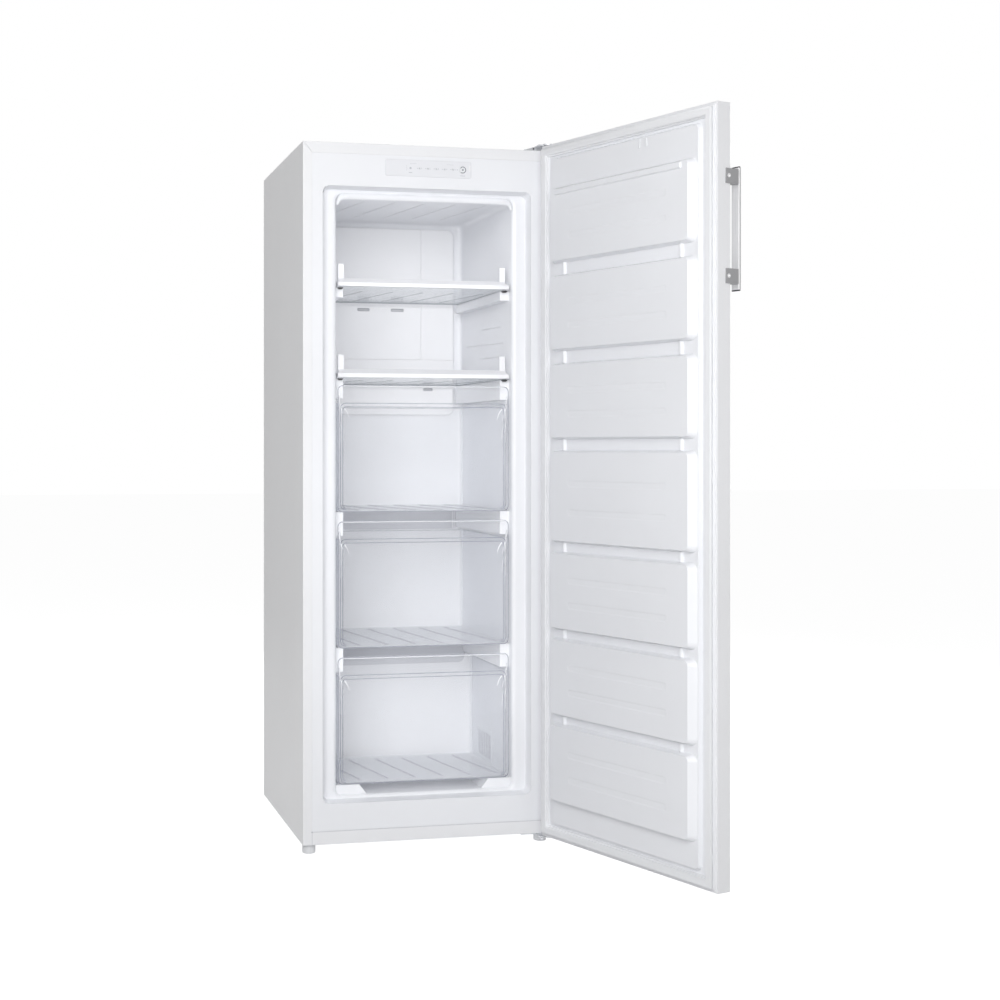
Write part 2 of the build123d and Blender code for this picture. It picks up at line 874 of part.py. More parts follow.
def condenser_tube():
    y = cabinet_depth - sheet - condenser_radius - fit_gap
    places = evenly(condenser_runs, condenser_pitch)
    return serpentine(y, places, machine_top + 60.0, cabinet_high - 90.0, condenser_radius)


def drain_tube():
    low = compressor_top + 12.0
    tube = rod_z(drain_x, drain_y, low, pocket_low, drain_radius)
    return tube - rod_z(drain_x, drain_y, low, pocket_low, drain_radius - drain_wall)


def evaporator_levels():
    return [evaporator_start + row * evaporator_pitch for row in range(evaporator_rows)]


def evaporator():
    points = []
    for row, z in enumerate(evaporator_levels()):
        side = -evaporator_half if row % 2 == 0 else evaporator_half
        points.append((side, evaporator_y, z))
        points.append((-side, evaporator_y, z))
    coil = bent_tube(points, evaporator_pitch / 2 - 0.01, evaporator_tube)
    fin_pitch = 2 * (evaporator_half - fin_margin) / (evaporator_fins - 1)
    front = evaporator_y - fin_half_depth
    back = evaporator_y + fin_half_depth
    thin = fin_half_thickness
    for x in evenly(evaporator_fins, fin_pitch):
        coil += block(x - thin, x + thin, front, back, evaporator_low, evaporator_high)
    return coil


def evaporator_brackets():
    brackets = []
    wall = pocket_back - fit_gap
    low = heater_z - 10.0
    for x in evenly(2, 2 * evaporator_half - 40.0):
        plate = block(x - 1.0, x + 1.0, evaporator_y - 20.0, wall, low, evaporator_high)
        plate += block(x - 8.0, x + 8.0, wall - 2.0, wall, evaporator_low, evaporator_high)
        for z in evaporator_levels():
            plate -= rod_x(evaporator_y, z, x - 5.0, x + 5.0, evaporator_tube + fit_gap)
        plate -= rod_x(evaporator_y, heater_z, x - 5.0, x + 5.0, heater_radius + fit_gap)
        brackets.append(plate)
    return brackets


def defrost_heater():
    reach = evaporator_half + 6.0
    return rod_x(evaporator_y, heater_z, -reach, reach, heater_radius)


fan_shaft_reach = 20.0


def fan_motor():
    front = fan_front + fan_depth + 4.0
    rear = pocket_back - 6.0
    body = rod_y(0, fan_z, front, rear, fan_motor_radius)
    cross = block(-60.0, 60.0, rear, pocket_back - fit_gap, fan_z - 7.0, fan_z + 7.0)
    bore_end = fan_front + fan_depth + fan_shaft_reach + 2.0
    bore = rod_y(0, fan_z, front - over, bore_end, fan_shaft_radius + pin_clearance)
    return body + cross - bore


def fan_blade():
    back = fan_front + fan_depth
    wheel = rod_y(0, fan_z, fan_front, back, fan_hub_radius)
    wheel += rod_y(0, fan_z, fan_front + 2.0, back + fan_shaft_reach, fan_shaft_radius)
    for index in range(fan_blades):
        blade = block(fan_hub_radius - 2.0, fan_radius, -9.0, 9.0, -0.8, 0.8)
        turned = Rot(0, index * 360 / fan_blades, 0) * Rot(fan_twist, 0, 0) * blade
        wheel += Pos(0, fan_front + fan_depth / 2, fan_z) * turned
    return wheel


def evaporator_cover():
    wall = cover_wall
    outer = rounded_prism(
        cover_left, cover_right, cover_low, cover_high, cover_radius, cover_front, inner_back - fit_gap
    )
    outer = fillet(outer.edges().group_by(Axis.Y)[0], 2.0)
    inner = rounded_prism(
        cover_left + wall,
        cover_right - wall,
        cover_low + wall,
        cover_high - wall,
        cover_radius - wall,
        cover_front + wall,
        inner_back,
    )
    cover = outer - inner
    slots = [(*sides, drop) for sides in cover_slot_sides for drop in cover_slot_drops]
    for x0, x1, drop in (*slots, cover_low_slot):
        z = opening_high - drop
        cover -= rounded_prism(x0, x1, z, z + cover_slot_height, 3.0, cover_front - over, inner_back)
    seam_z = opening_high - cover_seam_drop
    seam_y = cover_front + cover_seam_depth
    seam_x = cover_seam_x + cover_seam_width
    cover -= block(cover_seam_x, seam_x, cover_front, seam_y, seam_z, cover_high)
    cover -= block(cover_left, cover_right, cover_front, seam_y, seam_z, seam_z + cover_seam_width)
    return cover


def return_grille():
    wall_x = opening_half_width
    low = opening_low + 27.0
    high = opening_low + 103.0
    front = 196.0
    slots = 7
    pitch = 15.5
    margin = 8.0
    plate = block(wall_x - 2.0, wall_x - fit_gap, front, front + slots * pitch + margin, low, high)
    for index in range(slots):
        y = front + margin + index * pitch
        plate -= block(wall_x - 3.0, wall_x, y, y + pitch / 2, low + margin, high - margin)
    return plate


# ---- shelves -----------------------------------------------------------------------------
def glass_shelf(top):
    reach = opening_half_width - glass_side_gap
    low = top + slide_gap
    return block(-reach, reach, glass_front, glass_back, low, low + glass_thickness)


def shelf_front_trim(top):
    reach = opening_half_width - drawer_front_gap
    low = top + slide_gap
    under = low + trim_low
    high = low + trim_height
    back = trim_front + trim_depth
    profile = [
        (trim_front, under),
        (trim_front, under + trim_lip),
        (back - trim_slope, high),
        (back, high),
        (back, under),
    ]
    trim = prism_x(profile, -reach, reach)
    glass_high = low + glass_thickness + fit_gap
    trim -= block(-reach - over, reach + over, glass_front - fit_gap, back + over, low - over, glass_high)
    corner = [
        (reach, under + trim_lip),
        (reach - trim_bevel, high + over),
        (reach + over, high + over),
    ]
    bevel = prism_y(corner, trim_front - over, back + over)
    trim = trim - bevel - mirrored(bevel)
    half = post_width / 2
    post_x = reach - post_inset
    post = block(post_x - half, post_x + half, back - post_depth, back, under + trim_lip, high + post_rise)
    return trim + post + mirrored(post)


# ---- drawers -----------------------------------------------------------------------------
def drawer_back(low):
    # a drawer that stands in front of the hump is shallower
    if low > hump_top:
        return inner_back - drawer_rear_margin
    return hump_front - drawer_rear_margin / 2


def tub_prism(half_x, front, back, grow_y, low, high, radius):
    plane = Plane(origin=(0, (front + back) / 2, low))
    return extrude(plane * RectangleRounded(2 * half_x, back - front + 2 * grow_y, radius), amount=high - low)


def drawer_tub(low, back):
    wall = drawer_wall
    reach = opening_half_width - drawer_tub_gap
    front = drawer_front_y + drawer_front_thickness + fit_gap
    high = low + drawer_tub_height
    hollow = tub_prism(reach - wall, front, back, -wall, low + wall, high + over, drawer_radius - wall)
    tub = tub_prism(reach, front, back, 0, low, high, drawer_radius)
    tub += tub_prism(reach + drawer_wall, front, back, 0, high - drawer_rim, high, drawer_radius)
    tub -= hollow
    run = 42.0
    rib_width = 3.0
    rib_low = low + wall - 0.5
    rib_front = front + 34.0
    rib_back = back - 34.0
    for x in evenly(6, 68.0):
        points = [
            (x - run / 2, rib_back),
            (x - run / 2 + rib_width, rib_back),
            (x + run / 2 + rib_width, rib_front),
            (x + run / 2, rib_front),
        ]
        tub += prism_z(points, rib_low, rib_low + 1.7)
    return tub


def drawer_front(low):
    reach = opening_half_width - drawer_front_gap
    y = drawer_front_y
    back = y + drawer_front_thickness
    high = low + drawer_front_height
    plate = rounded_prism(-reach, reach, low, high, drawer_radius, y, back)
    side = reach - 12.0
    bead_low = low + 14.0
    bead_high = low + drawer_tub_height - bead_drop
    bead = 2.0
    rim = rounded_prism(-side, side, bead_low, bead_high, 8.0, y - 1.0, y + 1.0)
    rim -= rounded_prism(
        -side + bead, side - bead, bead_low + bead, bead_high - bead, 8.0 - bead, y - 2.0, y + 2.0
    )
    lip_reach = reach - drawer_radius
    lip = block(-lip_reach, lip_reach, y - 7.0, y + 1.0, high - 3.0, high)
    return plate + rim + lip


# ---- door --------------------------------------------------------------------------------
def door_skin():
    side = half_width - skin
    inner = door_inner - skin
    reach = half_width - skin_return
    low = door_low - over
    high = door_high + over
    pan = soft_front_block(-half_width, half_width, door_outer, door_inner, door_low, door_high, skin_radius)
    pan -= soft_front_block(-side, side, door_outer + skin, inner, low, high, skin_radius - skin)
    return pan - block(-reach, reach, inner - skin, door_inner + over, low, high)


def pin_hole(radius, low, high):
    return rod_z(pin_x, pin_y, low, high, radius)


def door_cap(low, high):
    side = half_width - skin - fit_gap
    inner = door_inner - skin - fit_gap
    cap = soft_front_block(-side, side, door_outer + skin + fit_gap, inner, low, high, skin_radius - skin)
    reach = half_width - skin_return - fit_gap
    cap += block(-reach, reach, inner - over, door_inner, low, high)
    return cap - pin_hole(bush_outer, low - over, high + over)


def hinge_bush(low, high):
    bush = pin_hole(bush_outer - 0.02, low, high)
    return bush - pin_hole(pin_radius + pin_clearance, low - over, high + over)


def panel_rows():
    # bottom and top of each raised panel, from the highest down, spread over the recess's height
    drawn = sum(panel_heights) + sum(panel_spaces)
    scale = (recess_high - recess_low - 2 * panel_end_gap) / drawn
    rows = []
    top = recess_high - panel_end_gap
    for height, space in zip(panel_heights, (*panel_spaces, 0.0)):
        rows.append((top - height * scale, top))
        top -= (height + space) * scale
    return rows


def liner_relief(shrink):
    # raised plateau with its row of panels, drawn smaller by shrink for the hollow behind it
    rows = panel_rows()
    side = half_width - plateau_side_margin - shrink
    low = door_low + plateau_end_margin + shrink
    high = door_high - plateau_end_margin - shrink
    top = door_inner + plateau_height - shrink
    relief = tapered_prism(-side, side, low, high, 14.0, door_inner - over - shrink, top, plateau_slope)
    panel_side = side - panel_inset
    for z0, z1 in rows:
        relief += tapered_prism(
            -panel_side,
            panel_side,
            z0 + shrink,
            z1 - shrink,
            panel_radius,
            top - over,
            top + panel_rise,
            panel_slope,
            panel_end_slope,
        )
    face = top + panel_rise
    ridge_side = ridge_half_width - shrink
    ridge_high = rows[0][1] - panel_end_slope - shrink
    ridge_low = ridge_high - ridge_height + 2 * shrink
    ridge = tapered_prism(
        -ridge_side,
        ridge_side,
        ridge_low,
        ridge_high,
        ridge_radius,
        face - over,
        face + ridge_rise,
        ridge_slope,
    )
    return relief + ridge


def door_liner():
    side = half_width - skin_return - fit_gap
    low = door_low + cap_height + fit_gap
    high = door_high - cap_height - fit_gap
    plate = block(-side, side, door_inner - door_liner_wall, door_inner, low, high)
    liner = plate + liner_relief(0) - liner_relief(door_liner_wall)
    rows = panel_rows()
    valley = door_inner + plateau_height
    face = valley + panel_rise
    rib_x = recess_half_width - rib_inset
    for upper, lower in zip(rows[:-1], rows[1:]):
        low = lower[1] - over
        high = upper[0] + over
        for x in (-rib_x, rib_x):
            rib = rod_z(x, valley - over, low, high, rib_radius)
            liner += rib & block(x - rib_radius, x + rib_radius, valley - over, face, low, high)
    half = pad_width / 2
    pad_low = door_high - pad_drop - pad_height / 2
    pad_high = pad_low + pad_height
    for x in pad_places:
        liner += rounded_prism(x - half, x + half, pad_low, pad_high, 1.9, valley - over, valley + pad_rise)
    for z0, z1 in rows:
        for share in groove_shares:
            z = z0 + (z1 - z0) * share
            liner -= tapered_prism(
                -groove_half_length,
                groove_half_length,
                z - groove_half_height,
                z + groove_half_height,
                groove_radius,
                face,
                face - groove_depth,
                groove_slope,
            )
    return liner


def door_foam():
    side = half_width - skin - fit_gap
    low = door_low + cap_height + fit_gap
    high = door_high - cap_height - fit_gap
    inner = door_inner - door_liner_wall - fit_gap
    bush_reach = 10.0
    body = soft_front_block(-side, side, door_outer + skin + fit_gap, inner, low, high, skin_radius - skin)
    body += liner_relief(door_liner_wall + fit_gap)
    body -= pin_hole(bush_outer + over, low - over, low + bush_reach)
    return body - pin_hole(bush_outer + over, high - bush_reach, high + over)


def gasket_ring(width, inset, y0, y1):
    side = half_width - gasket_margin - inset
    low = door_low + gasket_margin + inset
    high = door_high - gasket_margin - inset
    outside = rounded_prism(-side, side, low, high, 6.0, y0, y1)
    inside = rounded_prism(
        -side + width, side - width, low + width, high - width, 4.0, y0 - over, y1 + over
    )
    return outside - inside


def door_gasket():
    neck_inset = gasket_inset + 3.0
    base_top = door_inner + 2.5
    neck_top = door_inner + 5.5
    base = gasket_ring(gasket_width, 0.0, door_inner, base_top)
    neck = gasket_ring(gasket_bulb - 6.0, neck_inset, base_top - 0.5, neck_top)
    bulb = gasket_ring(gasket_bulb, gasket_inset, neck_top - 0.5, -gasket_seal_gap)
    return base + neck + bulb


# ---- handle -------------------------------------------------------------------------------
def bracket_centres():
    upper = handle_high - bracket_drop - bracket_height / 2
    return (upper, upper - bracket_spacing)


def handle_brackets():
    # a plate on the door's edge with a block that stands behind the bar
    edge = -half_width - fit_gap
    bar_face = handle_inner + fit_gap
    door_face = door_outer - fit_gap
    plate_back = door_outer + bracket_overlap
    brackets = []
    for z in bracket_centres():
        low = z - bracket_height / 2
        high = z + bracket_height / 2
        bracket = block(edge - bracket_sheet, edge, bar_face, plate_back, low, high)
        bracket += block(handle_edge, handle_edge + bracket_block, bar_face, door_face, low, high)
        hole = rod_x(bracket_screw_y, z, edge - bracket_sheet - over, edge + over, 2.2)
        brackets.append(bracket - hole)
    return brackets


def handle_slab(low, high):
    slab = block(handle_edge, handle_edge + handle_width, handle_outer, handle_inner, low, high)
    return fillet(slab.edges().filter_by(Axis.Z), handle_edge_radius)


def handle_end_caps():
    return [handle_slab(handle_low - end_cap, handle_low), handle_slab(handle_high, handle_high + end_cap)]


def handle_screws():
    # the head stands on the bracket and the shank goes through it
    head_height = 2.2
    slot = 4.6
    outer = handle_edge - head_height
    screws = []
    for z in bracket_centres():
        screw = rod_x(bracket_screw_y, z, outer, handle_edge, 4.4)
        screw += rod_x(bracket_screw_y, z, handle_edge, handle_edge + bracket_sheet, 2.0)
        screw -= Pos(outer, bracket_screw_y, z) * (Box(head_height, slot, 1.0) + Box(head_height, 1.0, slot))
        screws.append(screw)
    return screws


# ---- hinges -------------------------------------------------------------------------------
def top_screw_places():
    return (
        (half_width - 38.0, 24.0),
        (half_width - 38.0, 48.0),
        (half_width - 16.0, 36.0),
    )


def lower_screw_places():
    return (
        (half_width - 58.0, 20.0),
        (half_width - 58.0, 54.0),
        (half_width - 18.0, 58.0),
    )


def hinge_nose(low, high):
    # rounded end of a hinge arm round the pin, cut off square at the cabinet's side
    nose = rod_z(pin_x - hinge_nose_offset, pin_y, low, high, hinge_nose_radius)
    reach = 2 * hinge_nose_radius
    return nose & block(0, hinge_side, pin_y - reach, pin_y + reach, low, high)


def top_hinge():
    plate_low = cabinet_high
    plate_high = cabinet_high + hinge_sheet
    arm_high = arm_low + hinge_sheet
    riser_front = 4.0
    riser_back = riser_front + hinge_sheet
    plate = block(hinge_side - top_plate_width, hinge_side, riser_front, 62.0, plate_low, plate_high)
    riser = block(arm_side, hinge_side, riser_front, riser_back, plate_low, arm_high)
    arm = block(arm_side, hinge_side, pin_y, riser_back, arm_low, arm_high)
    pin = rod_z(pin_x, pin_y, door_high - cap_height + over, arm_high, pin_radius)
    bracket = plate + riser + arm + hinge_nose(arm_low, arm_high) + pin
    for x, y in top_screw_places():
        bracket -= rod_z(x, y, plate_low - over, plate_high + over, screw_radius + fit_gap)
    return bracket


def hinge_screw(x, y, seat, far, up):
    # head on the seat, shank to far; up is 1 with the head on top and -1 with it below
    tip = seat + up * screw_head_height
    head = rod_z(x, y, min(seat, tip), max(seat, tip), screw_head_radius)
    shank = rod_z(x, y, min(seat, far), max(seat, far), screw_radius)
    slot = 2 * screw_radius
    cross = Box(slot, screw_slot, screw_head_height) + Box(screw_slot, slot, screw_head_height)
    return head + shank - Pos(x, y, tip) * cross


def hinge_screws():
    screws = []
    for x, y in top_screw_places():
        screws.append(hinge_screw(x, y, cabinet_high + hinge_sheet, cabinet_high, 1))
    for x, y in lower_screw_places():
        screws.append(hinge_screw(x, y, lower_hinge_low, lower_hinge_high, -1))
    return screws


def top_hinge_cover():
    wall = hinge_cover_wall
    high = cabinet_high + hinge_cover_height
    front = 2.0
    back = 78.0
    toe = half_width - hinge_cover_width
    knee = half_width - 14.0

    def form(grow):
        points = [
            (toe + 3 * grow, cabinet_high),
            (knee, high - grow),
            (half_width - grow, high - grow),
            (half_width - grow, cabinet_high),
        ]
        return prism_y(points, front + grow, back - grow)

    plate_space = block(
        toe - 7.0,
        half_width - wall,
        front + wall,
        back - wall,
        cabinet_high - over,
        cabinet_high + hinge_sheet + 2 * fit_gap,
    )
    cover = form(0) - (form(wall) + plate_space)
    cover = cover & block(0, half_width, 0, back, cabinet_high + fit_gap, high + over)
    slot_side = arm_side - 4.0
    slot_high = arm_low + hinge_sheet + 0.5
    return cover - block(slot_side, half_width + over, -over, 12.0, cabinet_high - over, slot_high)


def lower_hinge():
    low = lower_hinge_low
    high = lower_hinge_high
    plate_front = 2.0
    plate = block(hinge_side - lower_plate_width, hinge_side, plate_front, 70.0, low, high)
    arm = block(arm_side, hinge_side, pin_y, plate_front + over, low, high)
    pin = rod_z(pin_x, pin_y, low, door_low + cap_height - over, pin_radius)
    stop_x = arm_side + 4.0
    stop = block(stop_x, stop_x + 6.0, pin_y - 4.0, pin_y + 10.0, low - 5.0, low)
    bracket = plate + arm + hinge_nose(low, high) + pin + stop
    x, y = foot_places()[1]
    bracket -= rod_z(x, y, 0, high + over, foot_stud_radius + pin_clearance)
    for screw_x, screw_y in lower_screw_places():
        bracket -= rod_z(screw_x, screw_y, low - over, high + over, screw_radius + fit_gap)
    return bracket


# ---- feet and rollers ------------------------------------------------------------------------
def levelling_foot(x, y):
    disc = rod_z(x, y, 0, foot_disc, foot_radius)
    disc = fillet(disc.edges().filter_by(GeomType.CIRCLE), 1.5)
    neck = rod_z(x, y, foot_disc, foot_disc + 4.0, foot_stud_radius + 3.5)
    stud = rod_z(x, y, foot_disc, cabinet_low + foot_stud_reach, foot_stud_radius)
    return disc + neck + stud


def roller(x):
    half = roller_width / 2
    wheel = rod_x(roller_y, roller_radius, x - half, x + half, roller_radius)
    wheel = fillet(wheel.edges().filter_by(GeomType.CIRCLE), 1.5)
    bore_radius = roller_axle_radius + pin_clearance
    return wheel - rod_x(roller_y, roller_radius, x - half - over, x + half + over, bore_radius)


def roller_brackets():
    # a stirrup over each roller, with a foot on the deck beside it
    low = 8.0
    high = deck_top + 22.0
    front = roller_y - cheek_half
    back = roller_y + cheek_half
    inner = roller_width / 2 + 1.0
    outer = inner + bracket_cheek
    seat = deck_top + fit_gap
    foot_front = roller_y - roller_radius - cheek_half
    foot_back = foot_front + 7.0
    parts = []
    for x in roller_places():
        piece = block(x - outer, x - inner, front, back, low, high)
        piece += block(x + inner, x + outer, front, back, low, high)
        piece += block(x - outer, x + outer, front, back, high, high + bracket_cheek)
        piece += block(x - outer - 15.0, x - inner, foot_front, foot_back, seat, seat + bracket_cheek)
        piece += block(x - outer, x - inner, foot_front, front + 2.0, seat, deck_top + 10.0)
        bore_radius = roller_axle_radius + fit_gap
        parts.append(piece - rod_x(roller_y, roller_radius, x - outer - over, x + outer + over, bore_radius))
    return parts


def roller_axles():
    reach = roller_width / 2 + 4.0
    return [rod_x(roller_y, roller_radius, x - reach, x + reach, roller_axle_radius) for x in roller_places()]


# ---- write every piece ------------------------------------------------------------------------
save("outer_wrapper", outer_wrapper())
save("bottom_rail", bottom_rail())
save("bottom_plate", bottom_plate())
save("compressor_deck", compressor_deck())
save("back_panel", back_panel())
save("machine_cover", machine_cover())
save("inner_liner", inner_liner())
save("cabinet_foam", cabinet_foam())

save("control_fascia", control_fascia())
save("control_housing", control_housing())
save("control_board", control_board())
save("control_button", control_button())
save("lamp_lenses", *lamp_lenses())

save("compressor", compressor())
save("compressor_mounts", *compressor_mounts())
save("terminal_box", terminal_box())
save("drip_pan", drip_pan())
save("filter_drier", filter_drier())
save("power_inlet", power_inlet())
save("condenser_tube", condenser_tube())
save("suction_pipe", suction_pipe(pipe_radius))
save("drain_tube", drain_tube())
save("evaporator", evaporator())
save("evaporator_brackets", *evaporator_brackets())
save("defrost_heater", defrost_heater())
save("fan_motor", fan_motor())
save("fan_blade", fan_blade())
save("evaporator_cover", evaporator_cover())
save("return_grille", return_grille())

for number, top in enumerate(shelf_ledge_tops, start=1):
    save(f"glass_shelf_{number}", glass_shelf(top))
    save(f"shelf_{number}_front_trim", shelf_front_trim(top))

for number, low in enumerate(drawer_lows, start=1):
    save(f"drawer_{number}_tub", drawer_tub(low, drawer_back(low)))
    save(f"drawer_{number}_front", drawer_front(low))

save_on_door("door_skin", door_skin())
save_on_door("door_liner", door_liner())
save_on_door("door_foam", door_foam())
save_on_door("door_top_cap", door_cap(door_high - cap_height, door_high))
save_on_door("door_bottom_cap", door_cap(door_low, door_low + cap_height))
save_on_door(
    "hinge_bushes",
    hinge_bush(lower_hinge_high + pin_clearance, door_low + cap_height),
    hinge_bush(door_high - cap_height, arm_low - pin_clearance),
)
save_on_door("door_gasket", door_gasket())
save_on_door("handle_bar", handle_slab(handle_low, handle_high))
save_on_door("handle_brackets", *handle_brackets())
save_on_door("handle_end_caps", *handle_end_caps())
save_on_door("handle_screws", *handle_screws())

save("top_hinge", top_hinge())
save("top_hinge_cover", top_hinge_cover())
save("lower_hinge", lower_hinge())
save("hinge_screws", *hinge_screws())

for name, (x, y) in zip(("left_foot", "right_foot"), foot_places()):
    save(name, levelling_foot(x, y))
for name, x in zip(("left_roller", "right_roller"), roller_places()):
    save(name, roller(x))
save("roller_brackets", *roller_brackets())
save("roller_axles", *roller_axles())
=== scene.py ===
import json
from math import cos, pi, radians, sin

import bmesh
import bpy
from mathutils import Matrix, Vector


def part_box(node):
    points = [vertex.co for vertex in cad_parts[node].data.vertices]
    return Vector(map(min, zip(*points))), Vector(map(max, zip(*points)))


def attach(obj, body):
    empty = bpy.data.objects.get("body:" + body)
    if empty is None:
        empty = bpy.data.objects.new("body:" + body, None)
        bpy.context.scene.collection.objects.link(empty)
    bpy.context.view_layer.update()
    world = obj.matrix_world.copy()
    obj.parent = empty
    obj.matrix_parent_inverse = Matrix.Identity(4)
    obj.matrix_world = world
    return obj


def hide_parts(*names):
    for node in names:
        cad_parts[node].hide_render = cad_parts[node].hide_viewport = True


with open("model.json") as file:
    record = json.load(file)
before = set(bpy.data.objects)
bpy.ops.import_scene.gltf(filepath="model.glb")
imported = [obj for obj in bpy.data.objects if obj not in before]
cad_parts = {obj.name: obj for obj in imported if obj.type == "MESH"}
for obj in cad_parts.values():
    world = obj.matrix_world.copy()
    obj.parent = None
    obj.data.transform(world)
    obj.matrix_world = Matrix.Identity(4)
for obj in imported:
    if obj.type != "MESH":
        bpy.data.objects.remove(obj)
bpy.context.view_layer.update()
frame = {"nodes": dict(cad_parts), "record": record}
nodes = frame["nodes"]
slots = {part["node"]: part["material_slot"] for part in frame["record"]["subparts"]}
mm = 0.001

# the ways that flat bars face
toward_front = (0, -1, 0)
toward_rear = (0, 1, 0)
toward_left = (-1, 0, 0)
toward_right = (1, 0, 0)
upward = (0, 0, 1)
downward = (0, 0, -1)

# faces of the compartment that small forms lie on
ceiling_z = 1.532
right_wall_x = 0.2151
grille_face_x = 0.2133
rear_wall_y = 0.4716
hump_face_y = 0.3716
hump_shoulder_z = 0.408


# ---- shader building blocks ----------------------------------------------------------------
def shader(name):
    material = bpy.data.materials.new(name)
    material.use_nodes = True
    tree = material.node_tree
    return material, tree, tree.nodes["Principled BSDF"]


def add(tree, kind, **values):
    # a node with the given sockets set; an underscore in a name stands for a space
    node = tree.nodes.new(kind)
    for name, value in values.items():
        node.inputs[name.replace("_", " ")].default_value = value
    return node


def where(tree, stretch=(1.0, 1.0, 1.0)):
    # places on the object, stretched along its axes
    coordinates = tree.nodes.new("ShaderNodeTexCoord")
    mapping = add(tree, "ShaderNodeMapping", Scale=stretch)
    tree.links.new(coordinates.outputs["Object"], mapping.inputs["Vector"])
    return mapping.outputs["Vector"]


def noise(tree, place, scale, detail=2.0):
    node = add(tree, "ShaderNodeTexNoise", Scale=scale, Detail=detail)
    tree.links.new(place, node.inputs["Vector"])
    return node.outputs["Fac"]


def spread(tree, value, low, high):
    # maps the middle of a noise onto the range low to high
    node = add(tree, "ShaderNodeMapRange", From_Min=0.3, From_Max=0.7, To_Min=low, To_Max=high)
    tree.links.new(value, node.inputs["Value"])
    return node.outputs["Result"]


def times(tree, first, second):
    # the product of two values
    node = tree.nodes.new("ShaderNodeMath")
    node.operation = "MULTIPLY"
    tree.links.new(first, node.inputs[0])
    tree.links.new(second, node.inputs[1])
    return node.outputs["Value"]


def tinted(tree, colour, factor):
    # the colour, made lighter and darker by factor
    node = tree.nodes.new("ShaderNodeMix")
    node.data_type = "RGBA"
    node.blend_type = "MULTIPLY"
    node.inputs["Factor"].default_value = 1.0
    node.inputs["A"].default_value = (*colour, 1.0)
    tree.links.new(factor, node.inputs["B"])
    return node.outputs["Result"]


def relief(tree, bsdf, height, distance, edge_radius=0.0):
    # bump from height, distance deep in metres, over edges softened by edge_radius
    bump = add(tree, "ShaderNodeBump", Strength=1.0, Distance=distance)
    tree.links.new(height, bump.inputs["Height"])
    if edge_radius:
        edge = add(tree, "ShaderNodeBevel", Radius=edge_radius)
        edge.samples = 4
        tree.links.new(edge.outputs["Normal"], bump.inputs["Normal"])
    tree.links.new(bump.outputs["Normal"], bsdf.inputs["Normal"])


def finish(name, colour, roughness, grain, bump, mottling=0.02, edge=0.0):
    # a moulded or painted skin: broad mottling, fine grain in its gloss and relief
    material, tree, bsdf = shader(name)
    place = where(tree)
    fine = noise(tree, place, scale=grain)
    broad = noise(tree, place, scale=2.5, detail=3.0)
    shade = times(
        tree,
        spread(tree, broad, 1.0 - mottling, 1.0 + mottling),
        spread(tree, fine, 1.0 - mottling / 2, 1.0 + mottling / 2),
    )
    tree.links.new(tinted(tree, colour, shade), bsdf.inputs["Base Color"])
    rough = spread(tree, fine, roughness - 0.05, roughness + 0.05)
    tree.links.new(rough, bsdf.inputs["Roughness"])
    relief(tree, bsdf, fine, bump, edge)
    return material


def brushed(name, colour, roughness, metallic=1.0):
    # metal with fine upright scratches
    material, tree, bsdf = shader(name)
    bsdf.inputs["Metallic"].default_value = metallic
    place = where(tree, (1.0, 1.0, 0.015))
    scratches = noise(tree, place, scale=2600.0, detail=4.0)
    streaks = noise(tree, place, scale=500.0)
    shade = times(tree, spread(tree, scratches, 0.9, 1.08), spread(tree, streaks, 0.95, 1.04))
    tree.links.new(tinted(tree, colour, shade), bsdf.inputs["Base Color"])
    tree.links.new(spread(tree, scratches, roughness - 0.08, roughness + 0.1), bsdf.inputs["Roughness"])
    relief(tree, bsdf, scratches, distance=0.00004)
    return material


def spangled(name, colour, roughness):
    # zinc coating with its crystals
    material, tree, bsdf = shader(name)
    bsdf.inputs["Metallic"].default_value = 1.0
    place = where(tree)
    crystals = add(tree, "ShaderNodeTexVoronoi", Scale=160.0)
    tree.links.new(place, crystals.inputs["Vector"])
    grey = tree.nodes.new("ShaderNodeRGBToBW")
    tree.links.new(crystals.outputs["Color"], grey.inputs["Color"])
    tone = grey.outputs["Val"]
    clouds = noise(tree, place, scale=9.0)
    shade = times(tree, spread(tree, tone, 0.95, 1.03), spread(tree, clouds, 0.98, 1.02))
    tree.links.new(tinted(tree, colour, shade), bsdf.inputs["Base Color"])
    tree.links.new(spread(tree, tone, roughness - 0.03, roughness + 0.05), bsdf.inputs["Roughness"])
    relief(tree, bsdf, noise(tree, place, scale=1500.0), distance=0.00004)
    return material


def clear_sheet(name, colour, through, edge_colour, roughness):
    # thin clear moulding: light passes straight through, edges seen aslant look solid
    material, tree, bsdf = shader(name)
    bsdf.inputs["IOR"].default_value = 1.49
    slant = add(tree, "ShaderNodeLayerWeight", Blend=0.35)
    mix = tree.nodes.new("ShaderNodeMix")
    mix.data_type = "RGBA"
    mix.inputs["A"].default_value = (*colour, 1.0)
    mix.inputs["B"].default_value = (*edge_colour, 1.0)
    tree.links.new(slant.outputs["Facing"], mix.inputs["Factor"])
    tree.links.new(mix.outputs["Result"], bsdf.inputs["Base Color"])
    solid = add(tree, "ShaderNodeMapRange", To_Min=1.0 - through, To_Max=0.6)
    tree.links.new(slant.outputs["Facing"], solid.inputs["Value"])
    tree.links.new(solid.outputs["Result"], bsdf.inputs["Alpha"])
    wave = noise(tree, where(tree), scale=14.0, detail=3.0)
    tree.links.new(spread(tree, wave, roughness, roughness + 0.06), bsdf.inputs["Roughness"])
    return material


# ---- materials ---------------------------------------------------------------------------
def liner_finish(name, colour):
    return finish(name, colour, 0.36, 1100.0, 0.00005, edge=0.002)


